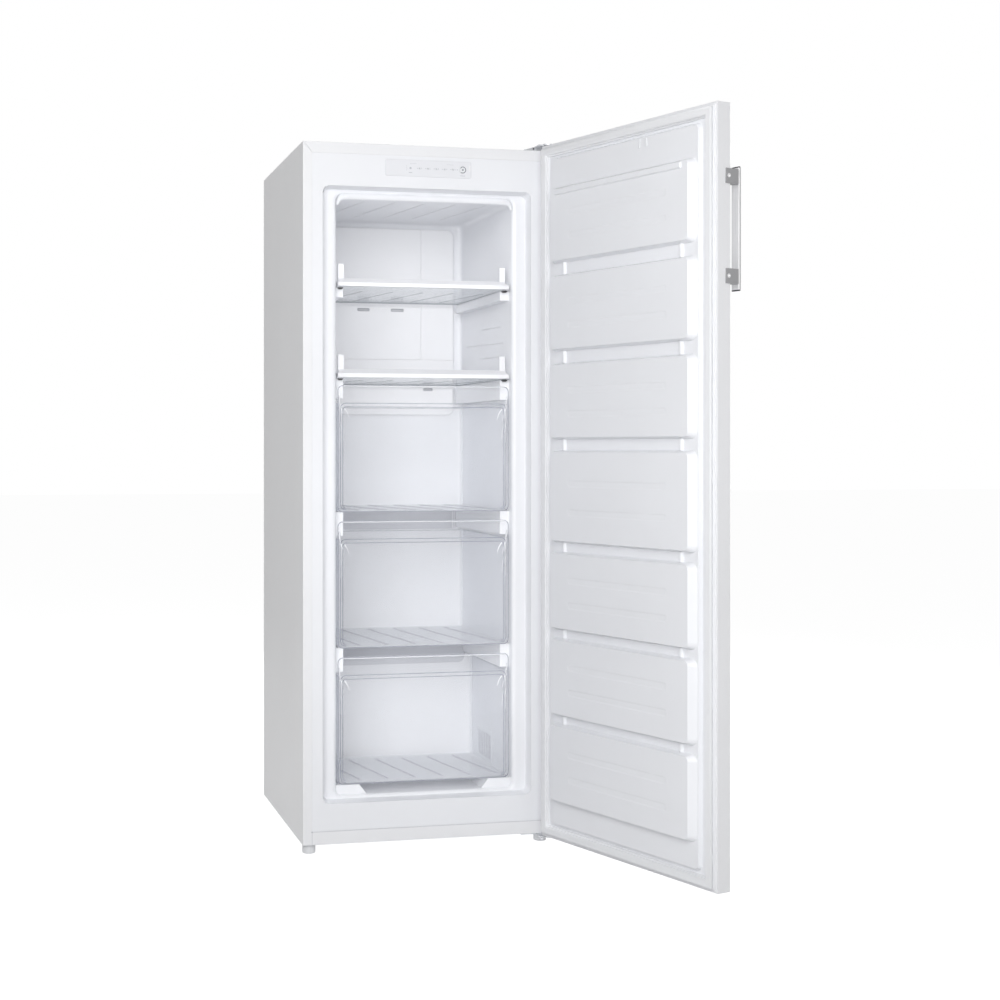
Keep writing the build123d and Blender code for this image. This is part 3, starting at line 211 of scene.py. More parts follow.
by_slot = {
    # finish: name, colour, roughness, scale and depth of the grain, mottling
    # brushed: name, colour, roughness, metallic
    # clear_sheet: name, colour, share of light let through, colour of the edges, roughness
    "white_painted_steel": finish("white_paint", (0.865, 0.87, 0.89), 0.32, 700.0, 0.00006, edge=0.0012),
    "white_liner": liner_finish("liner_plastic", (0.875, 0.885, 0.915)),
    "white_plastic": finish("white_plastic", (0.82, 0.825, 0.85), 0.4, 1300.0, 0.00006, edge=0.0008),
    "pale_fascia": finish("fascia_film", (0.82, 0.828, 0.86), 0.42, 1800.0, 0.00003, edge=0.0005),
    "grey_button": finish("button_plastic", (0.8, 0.81, 0.83), 0.45, 1800.0, 0.00003),
    "lamp_lens": finish("lamp_plastic", (0.66, 0.68, 0.71), 0.2, 1800.0, 0.00002),
    "white_seal": finish("soft_seal", (0.86, 0.868, 0.89), 0.55, 1500.0, 0.00008, edge=0.001),
    "grey_plastic": finish("grey_plastic", (0.5, 0.51, 0.53), 0.5, 1200.0, 0.0001, edge=0.0008),
    "pale_plastic": finish("pale_plastic", (0.8, 0.81, 0.83), 0.35, 900.0, 0.00008, edge=0.001),
    "black_plastic": finish("black_plastic", (0.03, 0.03, 0.033), 0.5, 1200.0, 0.0001, 0.1),
    "black_rubber": finish("black_rubber", (0.025, 0.025, 0.025), 0.7, 1500.0, 0.0001, 0.15),
    "black_steel": finish("black_enamel", (0.02, 0.02, 0.022), 0.28, 500.0, 0.00008, 0.1),
    "grey_painted_metal": finish("grey_paint", (0.33, 0.33, 0.34), 0.45, 1500.0, 0.00004, 0.04),
    "insulating_foam": finish("foam", (0.82, 0.7, 0.42), 0.85, 420.0, 0.0012, 0.08),
    "circuit_board": finish("solder_mask", (0.03, 0.2, 0.09), 0.35, 900.0, 0.00005, 0.08),
    "zinc_steel": spangled("zinc_steel", (0.58, 0.59, 0.61), 0.5),
    "bright_steel": brushed("bright_steel", (0.72, 0.72, 0.73), 0.22),
    "brushed_handle": brushed("handle_steel", (0.74, 0.74, 0.75), 0.36, 0.4),
    "bare_aluminium": brushed("aluminium", (0.8, 0.81, 0.82), 0.32),
    "copper": brushed("copper", (0.74, 0.4, 0.26), 0.25),
    "shelf_glass": clear_sheet("shelf_glass", (0.8, 0.83, 0.87), 0.93, (0.55, 0.6, 0.64), 0.03),
    "clear_drawer": clear_sheet("clear_plastic", (0.88, 0.9, 0.95), 0.975, (0.72, 0.75, 0.83), 0.05),
}
for node, slot in slots.items():
    mesh = nodes[node].data
    mesh.materials.clear()
    mesh.materials.append(by_slot[slot])
    if slot in ("clear_drawer", "shelf_glass"):
        # thin and clear, so they throw no shade
        nodes[node].visible_shadow = False
        nodes[node].visible_diffuse = False
# lighter and darker copies of the liner plastic: painted light on the evaporator cover, painted shade on
# the door liner
for node, name, colour in (
    ("evaporator_cover", "liner_plastic_painted_light", (0.91, 0.915, 0.935)),
    ("door_liner", "liner_plastic_painted_shade", (0.85, 0.86, 0.89)),
):
    nodes[node].data.materials[0] = liner_finish(name, colour)

# materials of the small forms
dark_ink = finish("dark_ink", (0.2, 0.21, 0.25), 0.5, 1500.0, 0.00002)
pale_ink = finish("pale_ink", (0.46, 0.47, 0.52), 0.5, 1500.0, 0.00002)
# white for the louvre lines, and for the painted highlight at the film's end
bright_white = finish("bright_white", (0.95, 0.95, 0.96), 0.2, 1500.0, 0.00002)
glass_line = clear_sheet("glass_line", (0.36, 0.39, 0.44), 0.5, (0.3, 0.33, 0.37), 0.1)
glass_edge = finish("glass_edge", (0.2, 0.225, 0.25), 0.2, 1500.0, 0.00002)
clear_edge = clear_sheet("clear_edge", (0.38, 0.4, 0.47), 0.45, (0.34, 0.36, 0.43), 0.1)
clear_line = clear_sheet("clear_line", (0.5, 0.52, 0.59), 0.6, (0.45, 0.47, 0.55), 0.1)
clear_rib = clear_sheet("clear_rib", (0.66, 0.68, 0.73), 0.7, (0.62, 0.64, 0.7), 0.1)
clear_bright = clear_sheet("clear_bright", (0.93, 0.94, 0.97), 0.3, (0.9, 0.92, 0.96), 0.08)
clear_web = clear_sheet("clear_web", (0.93, 0.94, 0.97), 0.22, (0.93, 0.94, 0.97), 0.2)
# opaque white beads on the drawers: painted highlights
painted_glint_white = finish("painted_glint_white", (0.96, 0.965, 0.98), 0.12, 900.0, 0.0004)
# grey for the dark seams round the rail, and for the painted shade in the air slots
joint_and_slot_shade_grey = finish("joint_and_slot_shade_grey", (0.55, 0.56, 0.6), 0.6, 1200.0, 0.00005)
# near black, for the painted shade in the slots of the return grille
painted_slot_shade = finish("painted_slot_shade", (0.05, 0.052, 0.06), 0.6, 1200.0, 0.00005)
# a grey for the painted shade behind the gaps between the drawers
painted_shade_grey = finish("painted_shade_grey", (0.66, 0.67, 0.71), 0.5, 1200.0, 0.00005)


# ---- mesh helpers ------------------------------------------------------------------------
def piece(name, mesh_maker, body, material):
    # an object made by mesh_maker(bmesh), riding on body
    shape = bmesh.new()
    mesh_maker(shape)
    bmesh.ops.recalc_face_normals(shape, faces=shape.faces)
    mesh = bpy.data.meshes.new(name)
    shape.to_mesh(mesh)
    shape.free()
    mesh.materials.append(material)
    made = bpy.data.objects.new(name, mesh)
    bpy.context.collection.objects.link(made)
    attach(made, body)
    return made


def bar(shape, start, end, width, depth, towards):
    # a flat bar from start to end, width across, standing depth in the direction towards
    start = Vector(start)
    end = Vector(end)
    out = Vector(towards).normalized()
    side = (end - start).cross(out).normalized() * width / 2
    corners = []
    for lift in (Vector((0, 0, 0)), out * depth):
        for point in (start - side, end - side, end + side, start + side):
            corners.append(shape.verts.new(point + lift))
    shape.faces.new(corners[:4])
    shape.faces.new(corners[4:])
    for index in range(4):
        after = (index + 1) % 4
        shape.faces.new((corners[index], corners[after], corners[after + 4], corners[index + 4]))


def join_rows(shape, rows, smooth=False):
    # faces between neighbouring rows of points, where each row runs round in a loop
    for row, after in zip(rows[:-1], rows[1:]):
        for index in range(len(row)):
            other = (index + 1) % len(row)
            face = shape.faces.new((row[index], row[other], after[other], after[index]))
            face.smooth = smooth


def ring(shape, centre, radius, width, depth, start=0.0, turn=2 * pi):
    # a flat arc that faces the front
    steps = 32
    inner = radius - width / 2
    outer = radius + width / 2
    rows = []
    for step in range(steps + 1):
        angle = start + turn * step / steps
        row = []
        for reach, y in ((inner, 0), (outer, 0), (outer, -depth), (inner, -depth)):
            point = Vector((cos(angle) * reach, y, sin(angle) * reach)) + Vector(centre)
            row.append(shape.verts.new(point))
        rows.append(row)
    join_rows(shape, rows)


# ---- control panel: plain marks and figures -------------------------------------------------
fascia_low, fascia_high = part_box("control_fascia")
lens_low, lens_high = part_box("lamp_lenses")
button_low, button_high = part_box("control_button")
panel_z = (fascia_low.z + fascia_high.z) / 2
film_y = lens_low.y + 0.2 * mm
lens_radius = 1.8 * mm
first_lamp = lens_low.x + lens_radius
last_lamp = lens_high.x - lens_radius
scale_marks = 5
scale_first = first_lamp + 22.0 * mm
scale_step = (last_lamp - scale_first) / (scale_marks - 1)
scale_lamps = [scale_first + index * scale_step for index in range(scale_marks)]
beside_lamp = 4.6 * mm
button_x = (button_low.x + button_high.x) / 2
ink = 0.12 * mm


def level_rule(shape, start, end, z, width):
    bar(shape, (start, film_y, z), (end, film_y, z), width, ink, toward_front)


def upright_rule(shape, x, start, end, width):
    bar(shape, (x, film_y, start), (x, film_y, end), width, ink, toward_front)


def panel_marks(shape):
    divider = first_lamp - 9.0 * mm
    upright_rule(shape, divider, panel_z - 7 * mm, panel_z + 7 * mm, 0.4 * mm)

    # a bracket over the lamps, open in the middle
    top = panel_z + 11.0 * mm
    middle = (first_lamp + last_lamp) / 2
    half_gap = 37.0 * mm
    for start, end in ((first_lamp, middle - half_gap), (middle + half_gap, last_lamp)):
        level_rule(shape, start, end, top, 0.35 * mm)
    for x in (first_lamp, last_lamp):
        upright_rule(shape, x, top, top - 2.5 * mm, 0.35 * mm)

    # short rules under the first lamp and the button
    for x, below, half in ((first_lamp, 10.5 * mm, 4.0 * mm), (button_x, 14.0 * mm, 6.0 * mm)):
        level_rule(shape, x - half, x + half, panel_z - below, 1.0 * mm)
    ring(shape, (first_lamp, film_y, panel_z), 1.3 * mm, 2.4 * mm, ink)

    # a tick to the left of the button, and one to the left of each lamp of the scale
    upright_rule(shape, button_x - 13.5 * mm, panel_z - 1.6 * mm, panel_z + 1.6 * mm, 1.2 * mm)
    for lamp_x in scale_lamps:
        x = lamp_x - beside_lamp
        level_rule(shape, x - 2.2 * mm, x + 1.0 * mm, panel_z, 0.8 * mm)


piece("panel_marks", panel_marks, "cabinet", pale_ink)


def figure(text, x, z, size):
    curve = bpy.data.curves.new(f"figure_{text}", "FONT")
    curve.body = text
    curve.size = size
    curve.align_x = "CENTER"
    curve.align_y = "CENTER"
    curve.extrude = ink / 2
    lettered = bpy.data.objects.new(f"figure_{text}", curve)
    lettered.location = (x, film_y - ink / 2, z)
    lettered.rotation_euler = (radians(90.0), 0.0, 0.0)
    bpy.context.collection.objects.link(lettered)
    curve.materials.append(pale_ink)
    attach(lettered, "cabinet")


for index, lamp_x in enumerate(scale_lamps):
    figure(str(index + 1), lamp_x + beside_lamp, panel_z, 5.0 * mm)


def button_ring(shape):
    # an open ring round a dot, with a short bar between them
    centre = (button_x, button_low.y, panel_z)
    ring(shape, centre, 7.1 * mm, 1.7 * mm, ink, radians(-125.0), radians(250.0))
    ring(shape, centre, 1.5 * mm, 1.4 * mm, ink)
    start = (button_x - 5.8 * mm, button_low.y, panel_z + 3.6 * mm)
    end = (button_x - 2.6 * mm, button_low.y, panel_z + 6.4 * mm)
    bar(shape, start, end, 1.5 * mm, ink, toward_front)


piece("button_mark", button_ring, "button", dark_ink)


def painted_highlight_strip(shape):
    # a white strip at the right end of the film: a painted highlight
    x = fascia_high.x - 4.0 * mm
    middle = panel_z + 4.0 * mm
    for half, width, lift in ((7.0, 2.4, 0.3), (6.0, 1.2, 0.5)):
        start = (x, film_y, middle - half * mm)
        end = (x, film_y, middle + half * mm)
        bar(shape, start, end, width * mm, lift * mm, toward_front)


piece("fascia_painted_highlight", painted_highlight_strip, "cabinet", bright_white)


# ---- door seal: a soft profile run round the door, mitred at its corners ----------------------
seal_low, seal_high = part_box("door_gasket")
rest_turn = radians(108.0)
pin = Vector((0.291, -0.030, 0.0))
seal_profile = (
    # how far in from the outer edge, and how far off the door, mm
    (0.0, 0.0), (0.0, 1.6), (1.5, 2.4), (4.5, 2.6), (6.5, 3.6), (4.2, 5.0), (3.2, 6.6), (3.0, 9.0),
    (3.8, 10.6), (5.6, 11.4), (8.5, 11.55), (10.0, 11.1), (11.5, 11.55), (17.5, 11.6), (19.8, 11.0),
    (20.8, 9.4), (20.9, 7.4), (20.4, 6.4), (21.2, 5.8), (23.4, 5.2), (24.0, 4.4), (24.0, 0.0),
)


def on_open_door(x, y, z):
    # a point drawn with the door shut, swung to where the door stands
    dx = x - pin.x
    dy = y - pin.y
    turned_x = dx * cos(rest_turn) - dy * sin(rest_turn)
    turned_y = dx * sin(rest_turn) + dy * cos(rest_turn)
    return (pin.x + turned_x, pin.y + turned_y, z)


def seal(shape):
    side = 294.0
    inner_y = -12.0
    low = seal_low.z / mm
    high = seal_high.z / mm
    rows = []
    for inward, off in seal_profile:
        corners = (
            (-side + inward, low + inward),
            (side - inward, low + inward),
            (side - inward, high - inward),
            (-side + inward, high - inward),
        )
        y = (inner_y + off) * mm
        rows.append([shape.verts.new(on_open_door(x * mm, y, z * mm)) for x, z in corners])
    join_rows(shape, rows + rows[:1], smooth=True)


door_seal = piece("door_seal", seal, "door", by_slot["white_seal"])
crease = door_seal.modifiers.new("corners", "EDGE_SPLIT")
crease.split_angle = radians(50.0)
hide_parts("door_gasket")


# ---- compartment: slanted ribs under the ceiling and on the shelves ----------------------------
def slanted_ribs(front_y, rear_y, z, depth):
    # ribs that hang from height z and slant to the right on their way to the front
    def make(shape):
        half_width = 190.0 * mm
        run = 42.0 * mm
        count = 5
        pitch = 2 * half_width / count
        for index in range(count):
            x = (index + 0.5) * pitch - half_width
            bar(shape, (x - run / 2, rear_y, z), (x + run / 2, front_y, z), 3.0 * mm, depth, downward)

    return make


def ground_edges(low, high):
    def make(shape):
        # bevelled strips on the glass's rear and side edges
        inset = 0.4 * mm
        out = 0.7 * mm
        middle = (low.z + high.z) / 2
        thick = high.z - low.z - inset
        rear = high.y - inset
        bar(shape, (low.x, rear, middle), (high.x, rear, middle), thick, out, toward_rear)
        for x, facing in ((high.x - inset, toward_right), (low.x + inset, toward_left)):
            bar(shape, (x, low.y + 20 * mm, middle), (x, high.y, middle), thick, out, facing)

        # dark lines where the glass meets its rear and side ledges
        under = low.z + 0.1 * mm
        left = (low.x + 20 * mm, high.y - 1.6 * mm, under)
        right = (high.x - 20 * mm, high.y - 1.6 * mm, under)
        bar(shape, left, right, 3.0 * mm, 0.4 * mm, downward)
        for x in (-190.5 * mm, 190.5 * mm):
            front = (x, low.y + 30 * mm, under)
            rear = (x, high.y - 3 * mm, under)
            bar(shape, front, rear, 2.6 * mm, 0.4 * mm, downward)

    return make


def clips(low):
    def make(shape):
        # dark clips that hold the trim to the glass, one at each end
        y = low.y + 6 * mm
        for hand in (-1, 1):
            for inner, outer, drop, width, depth in ((196, 207, 0.0, 14, 2.6), (198, 205, 2.6, 9, 1.2)):
                start = (hand * inner * mm, y, low.z - drop * mm)
                end = (hand * outer * mm, y, low.z - drop * mm)
                bar(shape, start, end, width * mm, depth * mm, downward)

    return make


ceiling = slanted_ribs(0.11, 0.38, ceiling_z + 0.2 * mm, 1.0 * mm)
piece("ceiling_ribs", ceiling, "cabinet", by_slot["white_liner"])
for number in (1, 2):
    body = f"shelf_{number}"
    low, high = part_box(f"glass_shelf_{number}")
    ribs = slanted_ribs(low.y + 0.09, high.y - 0.05, low.z + 0.1 * mm, 0.5 * mm)
    piece(f"shelf_{number}_ribs", ribs, body, glass_line)
    piece(f"shelf_{number}_ground_edges", ground_edges(low, high), body, glass_edge)
    piece(f"shelf_{number}_clips", clips(low), body, by_slot["black_plastic"])


# ---- drawers: moulded frames, rims, ribs and gussets that catch the eye as darker lines, and painted highlights ---
# runs down from the tub's rim, each point so far out from the middle and so far up, mm
gusset_run = ((206, 18), (204.5, 6), (202, -12), (198.5, -40), (195.5, -62), (193.5, -84))
glint_runs = (
    ((203.5, -9), (202.4, -24), (203.0, -38), (201.6, -52), (202.2, -70), (201.4, -92)),
    ((203.5, -9), (200.0, -14), (197.0, -26), (195.5, -40)),
    ((193.0, -12), (186.0, -22), (181.0, -36)),
)
corner_steps = 6


def bead(name, lines, radius, body, material, closed=False, taper=0.0):
    # round beads along the lines, each thinned by the share taper towards its end
    curve = bpy.data.curves.new(name, "CURVE")
    curve.dimensions = "3D"
    curve.bevel_depth = radius
    curve.bevel_resolution = 2
    curve.use_fill_caps = not closed
    for places in lines:
        spline = curve.splines.new("POLY")
        spline.points.add(len(places) - 1)
        for index, (point, place) in enumerate(zip(spline.points, places)):
            point.co = (*place, 1.0)
            point.radius = 1.0 - taper * index / (len(places) - 1)
        spline.use_cyclic_u = closed
    curve.materials.append(material)
    made = bpy.data.objects.new(name, curve)
    bpy.context.collection.objects.link(made)
    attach(made, body)


def rounded_frame(side, low, high, radius, y):
    # a closed path with round corners, seen from the front
    places = []
    for x, z, start in (
        (side - radius, high - radius, 0.0),
        (radius - side, high - radius, 90.0),
        (radius - side, low + radius, 180.0),
        (side - radius, low + radius, 270.0),
    ):
        for step in range(corner_steps + 1):
            angle = radians(start + 90.0 / corner_steps * step)
            places.append((x + cos(angle) * radius, y, z + sin(angle) * radius))
    return places


def open_below(frame_path):
    # the path begun at its lower right corner, so that its bottom side stays open
    lower_right = 3 * (corner_steps + 1)
    return frame_path[lower_right:] + frame_path[:lower_right]


def floor_web(low, side, front, back):
    def make(shape):
        # a sheet with its edges turned up, for the tinted floor of a drawer
        rows = []
        for inset, lift in ((0.0, 3 * mm), (1.5 * mm, 1.6 * mm), (4 * mm, 1.0 * mm), (14 * mm, 0.6 * mm)):
            corners = (
                (-side + inset, front + inset),
                (side - inset, front + inset),
                (side - inset, back - inset),
                (-side + inset, back - inset),
            )
            rows.append([shape.verts.new((x, y, low + lift)) for x, y in corners])
        join_rows(shape, rows, smooth=True)
        shape.faces.new(rows[-1])

    return make


def floor_ribs(low, front, back):
    def make(shape):
        # slanted ribs, spread evenly to both sides of the middle
        count = 6
        pitch = 68 * mm
        half_run = 21 * mm
        z = low + 3.6 * mm
        for index in range(count):
            x = (index - (count - 1) / 2) * pitch
            start = (x - half_run, back - 34 * mm, z)
            end = (x + half_run, front + 34 * mm, z)
            bar(shape, start, end, 3.4 * mm, 0.4 * mm, upward)

    return make


for number in (1, 2, 3):
    body = f"drawer_{number}"
    front_low, front_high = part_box(f"drawer_{number}_front")
    tub_low, tub_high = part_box(f"drawer_{number}_tub")
    low = front_low.z
    high = front_high.z
    rim = tub_high.z
    reach = front_high.x
    face = front_high.y - 4 * mm
    side = tub_high.x - 0.6 * mm
    start = tub_low.y + 6 * mm
    back = tub_high.y - 0.8 * mm

    # the front: its outline, two moulded frames inside it and a bar along its top
    edge = 0.9 * mm
    outline = rounded_frame(reach - edge, low + edge, high - edge, 11 * mm, face + 0.4 * mm)
    bead(f"{body}_outline", [outline], edge, body, clear_edge, True)
    frames = (
        rounded_frame(reach - 6.5 * mm, low + 5 * mm, rim, 13 * mm, face),
        rounded_frame(reach - 12 * mm, low + 9 * mm, rim - 8.5 * mm, 8 * mm, face - 0.5 * mm),
    )
    bead(f"{body}_frame", [open_below(path) for path in frames], 0.8 * mm, body, clear_edge)
    top_bar = [(x, face - 6 * mm, high - 1.5 * mm) for x in (-reach + 12 * mm, reach - 12 * mm)]
    bead(f"{body}_top_bar", [top_bar], 1.0 * mm, body, clear_bright)

    # the tub: its rim and floor edges, and white beads on its upright corners at the back: painted
    # highlights
    rails = []
    for z in (rim - 1 * mm, low + 1 * mm):
        rails.append([(-side, start, z), (-side, back, z), (side, back, z), (side, start, z)])
    bead(f"{body}_tub_edges", rails, 0.7 * mm, body, clear_line)
    corners = [[(x, back, low + 2 * mm), (x, back, rim - 3 * mm)] for x in (-side, side)]
    bead(f"{body}_back_painted_glints", corners, 1.5 * mm, body, painted_glint_white)

    # gussets at both ends of the front, and white beads behind them: painted highlights
    gussets = []
    painted_glints = []
    for hand in (-1, 1):
        gussets.append([(hand * x * mm, face + 3 * mm, rim + z * mm) for x, z in gusset_run])
        for run in glint_runs:
            painted_glints.append([(hand * x * mm, face + 1.2 * mm, rim + z * mm) for x, z in run])
    bead(f"{body}_gussets", gussets, 1.8 * mm, body, clear_bright, taper=0.6)
    bead(f"{body}_painted_glints", painted_glints, 1.5 * mm, body, painted_glint_white, taper=0.7)

    ribs = floor_ribs(low, tub_low.y, tub_high.y)
    piece(f"{body}_floor_ribs", ribs, body, clear_rib)
    web = floor_web(low, side - 1 * mm, tub_low.y + 1 * mm, back - 1 * mm)
    piece(f"{body}_floor_web", web, body, clear_web)


# ---- compartment: louvres in the air slots, grille slots, faint lines in the wall, painted shade in the slots and behind the drawers ---
cover_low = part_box("evaporator_cover")[0]
grille_low, grille_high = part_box("return_grille")
# the slots' left and right ends, and how far below the ceiling they begin, mm
slot_rows = (212, 233)
left_slots = [(-71, -38, below) for below in slot_rows]
right_slots = [(19, 54, below) for below in slot_rows]
lower_slot = (107, 133, 441)


def slot_middle(below):
    half_height = 4 * mm
    return ceiling_z - below * mm + half_height


def louvres(shape):
    # a grey floor in each slot, painted shade in its depth, and a slanted blade across it
    floor_y = cover_low.y + 4.2 * mm
    blade_y = floor_y - 0.6 * mm
    for left, right, below in (*left_slots, *right_slots, lower_slot):
        z = slot_middle(below)
        bar(shape, (left * mm, floor_y, z), (right * mm, floor_y, z), 8.4 * mm, 0.6 * mm, toward_front)
        start = (left * mm + 2 * mm, blade_y, z)
        end = (right * mm - 2 * mm, blade_y, z)
        bar(shape, start, end, 2.2 * mm, 2 * mm, (0, -1, 0.35))


def louvre_lines(shape):
    # pale blades in the upper slots, and a bright moulded line that joins each pair
    blade_y = cover_low.y + 3.0 * mm
    for below in slot_rows:
        z = slot_middle(below)
        for left, right in ((-69 * mm, -40 * mm), (21 * mm, 52 * mm)):
            bar(shape, (left, blade_y, z), (right, blade_y, z), 2.4 * mm, 1.2 * mm, toward_front)
    z = slot_middle(230.5)
    start = (-38 * mm, cover_low.y, z)
    end = (19 * mm, cover_low.y, z)
    bar(shape, start, end, 2.0 * mm, 0.5 * mm, toward_front)


def grille_slot_shade(shape):
    # dark bars on the grille's face: painted shade in its slots
    count = 7
    pitch = 15.5
    first_middle = 8 + 3.9
    for index in range(count):
        y = grille_low.y + (first_middle + pitch * index) * mm
        start = (grille_face_x, y, grille_low.z + 8 * mm)
        end = (grille_face_x, y, grille_high.z - 8 * mm)
        bar(shape, start, end, 4.8 * mm, 0.4 * mm, toward_left)


def wall_lines(shape):
    # faint pressed lines on the right wall, from the rear to the front, between the shelves
    for rear_y, rear_z, front_y, front_z in (
        (282, 1241, 128, 1238),
        (420, 1206, 104, 1197),
        (300, 1168, 88, 1164),
    ):
        start = (right_wall_x, rear_y * mm, rear_z * mm)
        end = (right_wall_x, front_y * mm, front_z * mm)
        bar(shape, start, end, 2.2 * mm, 0.7 * mm, toward_left)


def painted_shade_strips(shape):
    # painted shade: darker strips behind the gaps between the drawers, on the rear wall and over the hump
    left = -213 * mm
    right = 188 * mm
    middle = 750 * mm
    half_height = 23 * mm
    thin = 0.4 * mm
    start = (left, rear_wall_y, middle)
    end = (right, rear_wall_y, middle)
    bar(shape, start, end, 2 * half_height, thin, toward_front)
    for x in (right + 4 * mm, right + 9 * mm):
        start = (x, rear_wall_y, middle - half_height)
        end = (x, rear_wall_y, middle + half_height)
        bar(shape, start, end, 1.6 * mm, thin, toward_front)

    # painted shade on the hump's sloping shoulder, then on its front face with a round lower right corner
    slope = 40 * mm
    shoulder_left = (left, hump_face_y, hump_shoulder_z)
    shoulder_right = (right + 9 * mm, hump_face_y, hump_shoulder_z)
    rear_y = hump_face_y + slope
    rear_z = hump_shoulder_z + slope
    strip = [(left, rear_y, rear_z), (right + 14 * mm, rear_y, rear_z), shoulder_right, shoulder_left]
    shape.faces.new([shape.verts.new(place) for place in strip])
    face = [shoulder_right]
    for step in range(corner_steps + 1):
        angle = radians(-90.0 / corner_steps * step)
        x = right - 12 * mm + cos(angle) * 18 * mm
        z = hump_shoulder_z - 6 * mm + sin(angle) * 17 * mm
        face.append((x, hump_face_y, z))
    face += [(left, hump_face_y, hump_shoulder_z - 23 * mm), shoulder_left]
    shape.faces.new([shape.verts.new(place) for place in face])


piece("air_louvres", louvres, "cabinet", joint_and_slot_shade_grey)
piece("louvre_lines", louvre_lines, "cabinet", bright_white)
piece("grille_slot_shade", grille_slot_shade, "cabinet", painted_slot_shade)
piece("wall_lines", wall_lines, "cabinet", by_slot["white_liner"])
piece("painted_shade_strips", painted_shade_strips, "cabinet", painted_shade_grey)


# ---- front: rolled lip over the opening, seams of the bottom rail, feet, painted shade on the edge of the handle -----
lip = bpy.data.curves.new("opening_lip", "CURVE")
lip.dimensions = "3D"
lip.bevel_depth = 8.0 * mm
lip.bevel_resolution = 5
lip_run = lip.splines.new("NURBS")
lip_y = 31 * mm
lip_places = (
    # across and up in mm, and the share of the full thickness
    (-213, 1510, 0.3), (-210, 1522, 0.6), (-202, 1529, 1.0), (-180, 1531, 1.0), (0, 1531, 1.0),
    (180, 1531, 1.0), (202, 1529, 1.0), (210, 1522, 0.6), (213, 1510, 0.3),
)
lip_run.points.add(len(lip_places) - 1)
for point, (x, z, swell) in zip(lip_run.points, lip_places):
    point.co = (x * mm, lip_y, z * mm, 1.0)
    point.radius = swell
lip_run.order_u = 3
lip_run.use_endpoint_u = True
lip.materials.append(by_slot["white_liner"])
opening_lip = bpy.data.objects.new("opening_lip", lip)
bpy.context.collection.objects.link(opening_lip)
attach(opening_lip, "cabinet")

rail_low, rail_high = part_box("bottom_rail")
handle_low, handle_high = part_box("handle_bar")


def rail_seams(shape):
    # dark lines round the rail, each of its upper ends in a small round notch
    for hand in (-1, 1):
        x = hand * (rail_high.x + 0.3 * mm)
        bar(shape, (x, 0.0, rail_low.z), (x, 0.0, rail_high.z), 0.9 * mm, 0.1 * mm, toward_front)
        ring(shape, (x, 0.0, rail_high.z), 0.9 * mm, 1.7 * mm, 0.2 * mm)
    start = (rail_low.x, 0.0, rail_high.z)
    end = (rail_high.x, 0.0, rail_high.z)
    bar(shape, start, end, 0.7 * mm, 0.1 * mm, toward_front)


def ridged_foot(centre_x, centre_y, top):
    def make(shape):
        # a round knob with grip ridges, wider than the foot's disc
        ridge_count = 24
        steps = 4 * ridge_count
        ridged_beyond = 14.0
        clearance = 0.3
        circles = []
        for reach, z in (
            (9.0, 0.1), (13.0, 0.1), (14.6, 1.2), (15.2, 3.0),
            (15.2, top - 2.4), (14.6, top - 0.8), (13.2, top), (6.0, top),
        ):
            circle = []
            for step in range(steps):
                angle = 2 * pi * step / steps
                ridge = 0.55 if step % 4 < 2 and reach > ridged_beyond else 0.0
                radius = (reach + ridge - clearance) * mm
                x = centre_x + cos(angle) * radius
                y = centre_y + sin(angle) * radius
                circle.append(shape.verts.new((x, y, z * mm)))
            circles.append(circle)
        join_rows(shape, circles)

    return make


def handle_edge_shade(shape):
    # a dark strip on the bar's turned edge: painted shade
    x = handle_high.x - 0.6 * mm
    start = (x, handle_low.y, handle_low.z)
    end = (x, handle_low.y, handle_high.z)
    bar(shape, start, end, 1.2 * mm, 0.15 * mm, toward_front)


piece("rail_seams", rail_seams, "cabinet", joint_and_slot_shade_grey)
for hand, top in (("left", 20.5), ("right", 17.5)):
    foot_low, foot_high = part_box(f"{hand}_foot")
    knob = ridged_foot((foot_low.x + foot_high.x) / 2, (foot_low.y + foot_high.y) / 2, top)
    piece(f"{hand}_foot_knob", knob, f"{hand}_foot", by_slot["pale_plastic"])
piece("handle_edge_shade", handle_edge_shade, "door", by_slot["grey_painted_metal"])


# ---- back: pressed rear sheet, and screws round the rear panels ---------------------------------
back_low, back_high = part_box("back_panel")
border_drop = 1.5 * mm
rib_drop = 1.0 * mm


def pan_heads(places, radius, height):
    def make(shape):
        steps = 20
        # share of the radius and of the height, from the sheet out to the top
        profile = ((1.0, 0.0), (1.0, 0.45), (0.78, 0.85), (0.4, 1.0))
        for x, y, z in places:
            circles = []
            for wide, tall in profile:
                circle = []
                for step in range(steps):
                    angle = 2 * pi * step / steps
                    reach = radius * wide
                    point = (x + cos(angle) * reach, y + height * tall, z + sin(angle) * reach)
                    circle.append(shape.verts.new(point))
                circles.append(circle)
            join_rows(shape, circles, smooth=True)
            shape.faces.new(circles[-1])

    return make


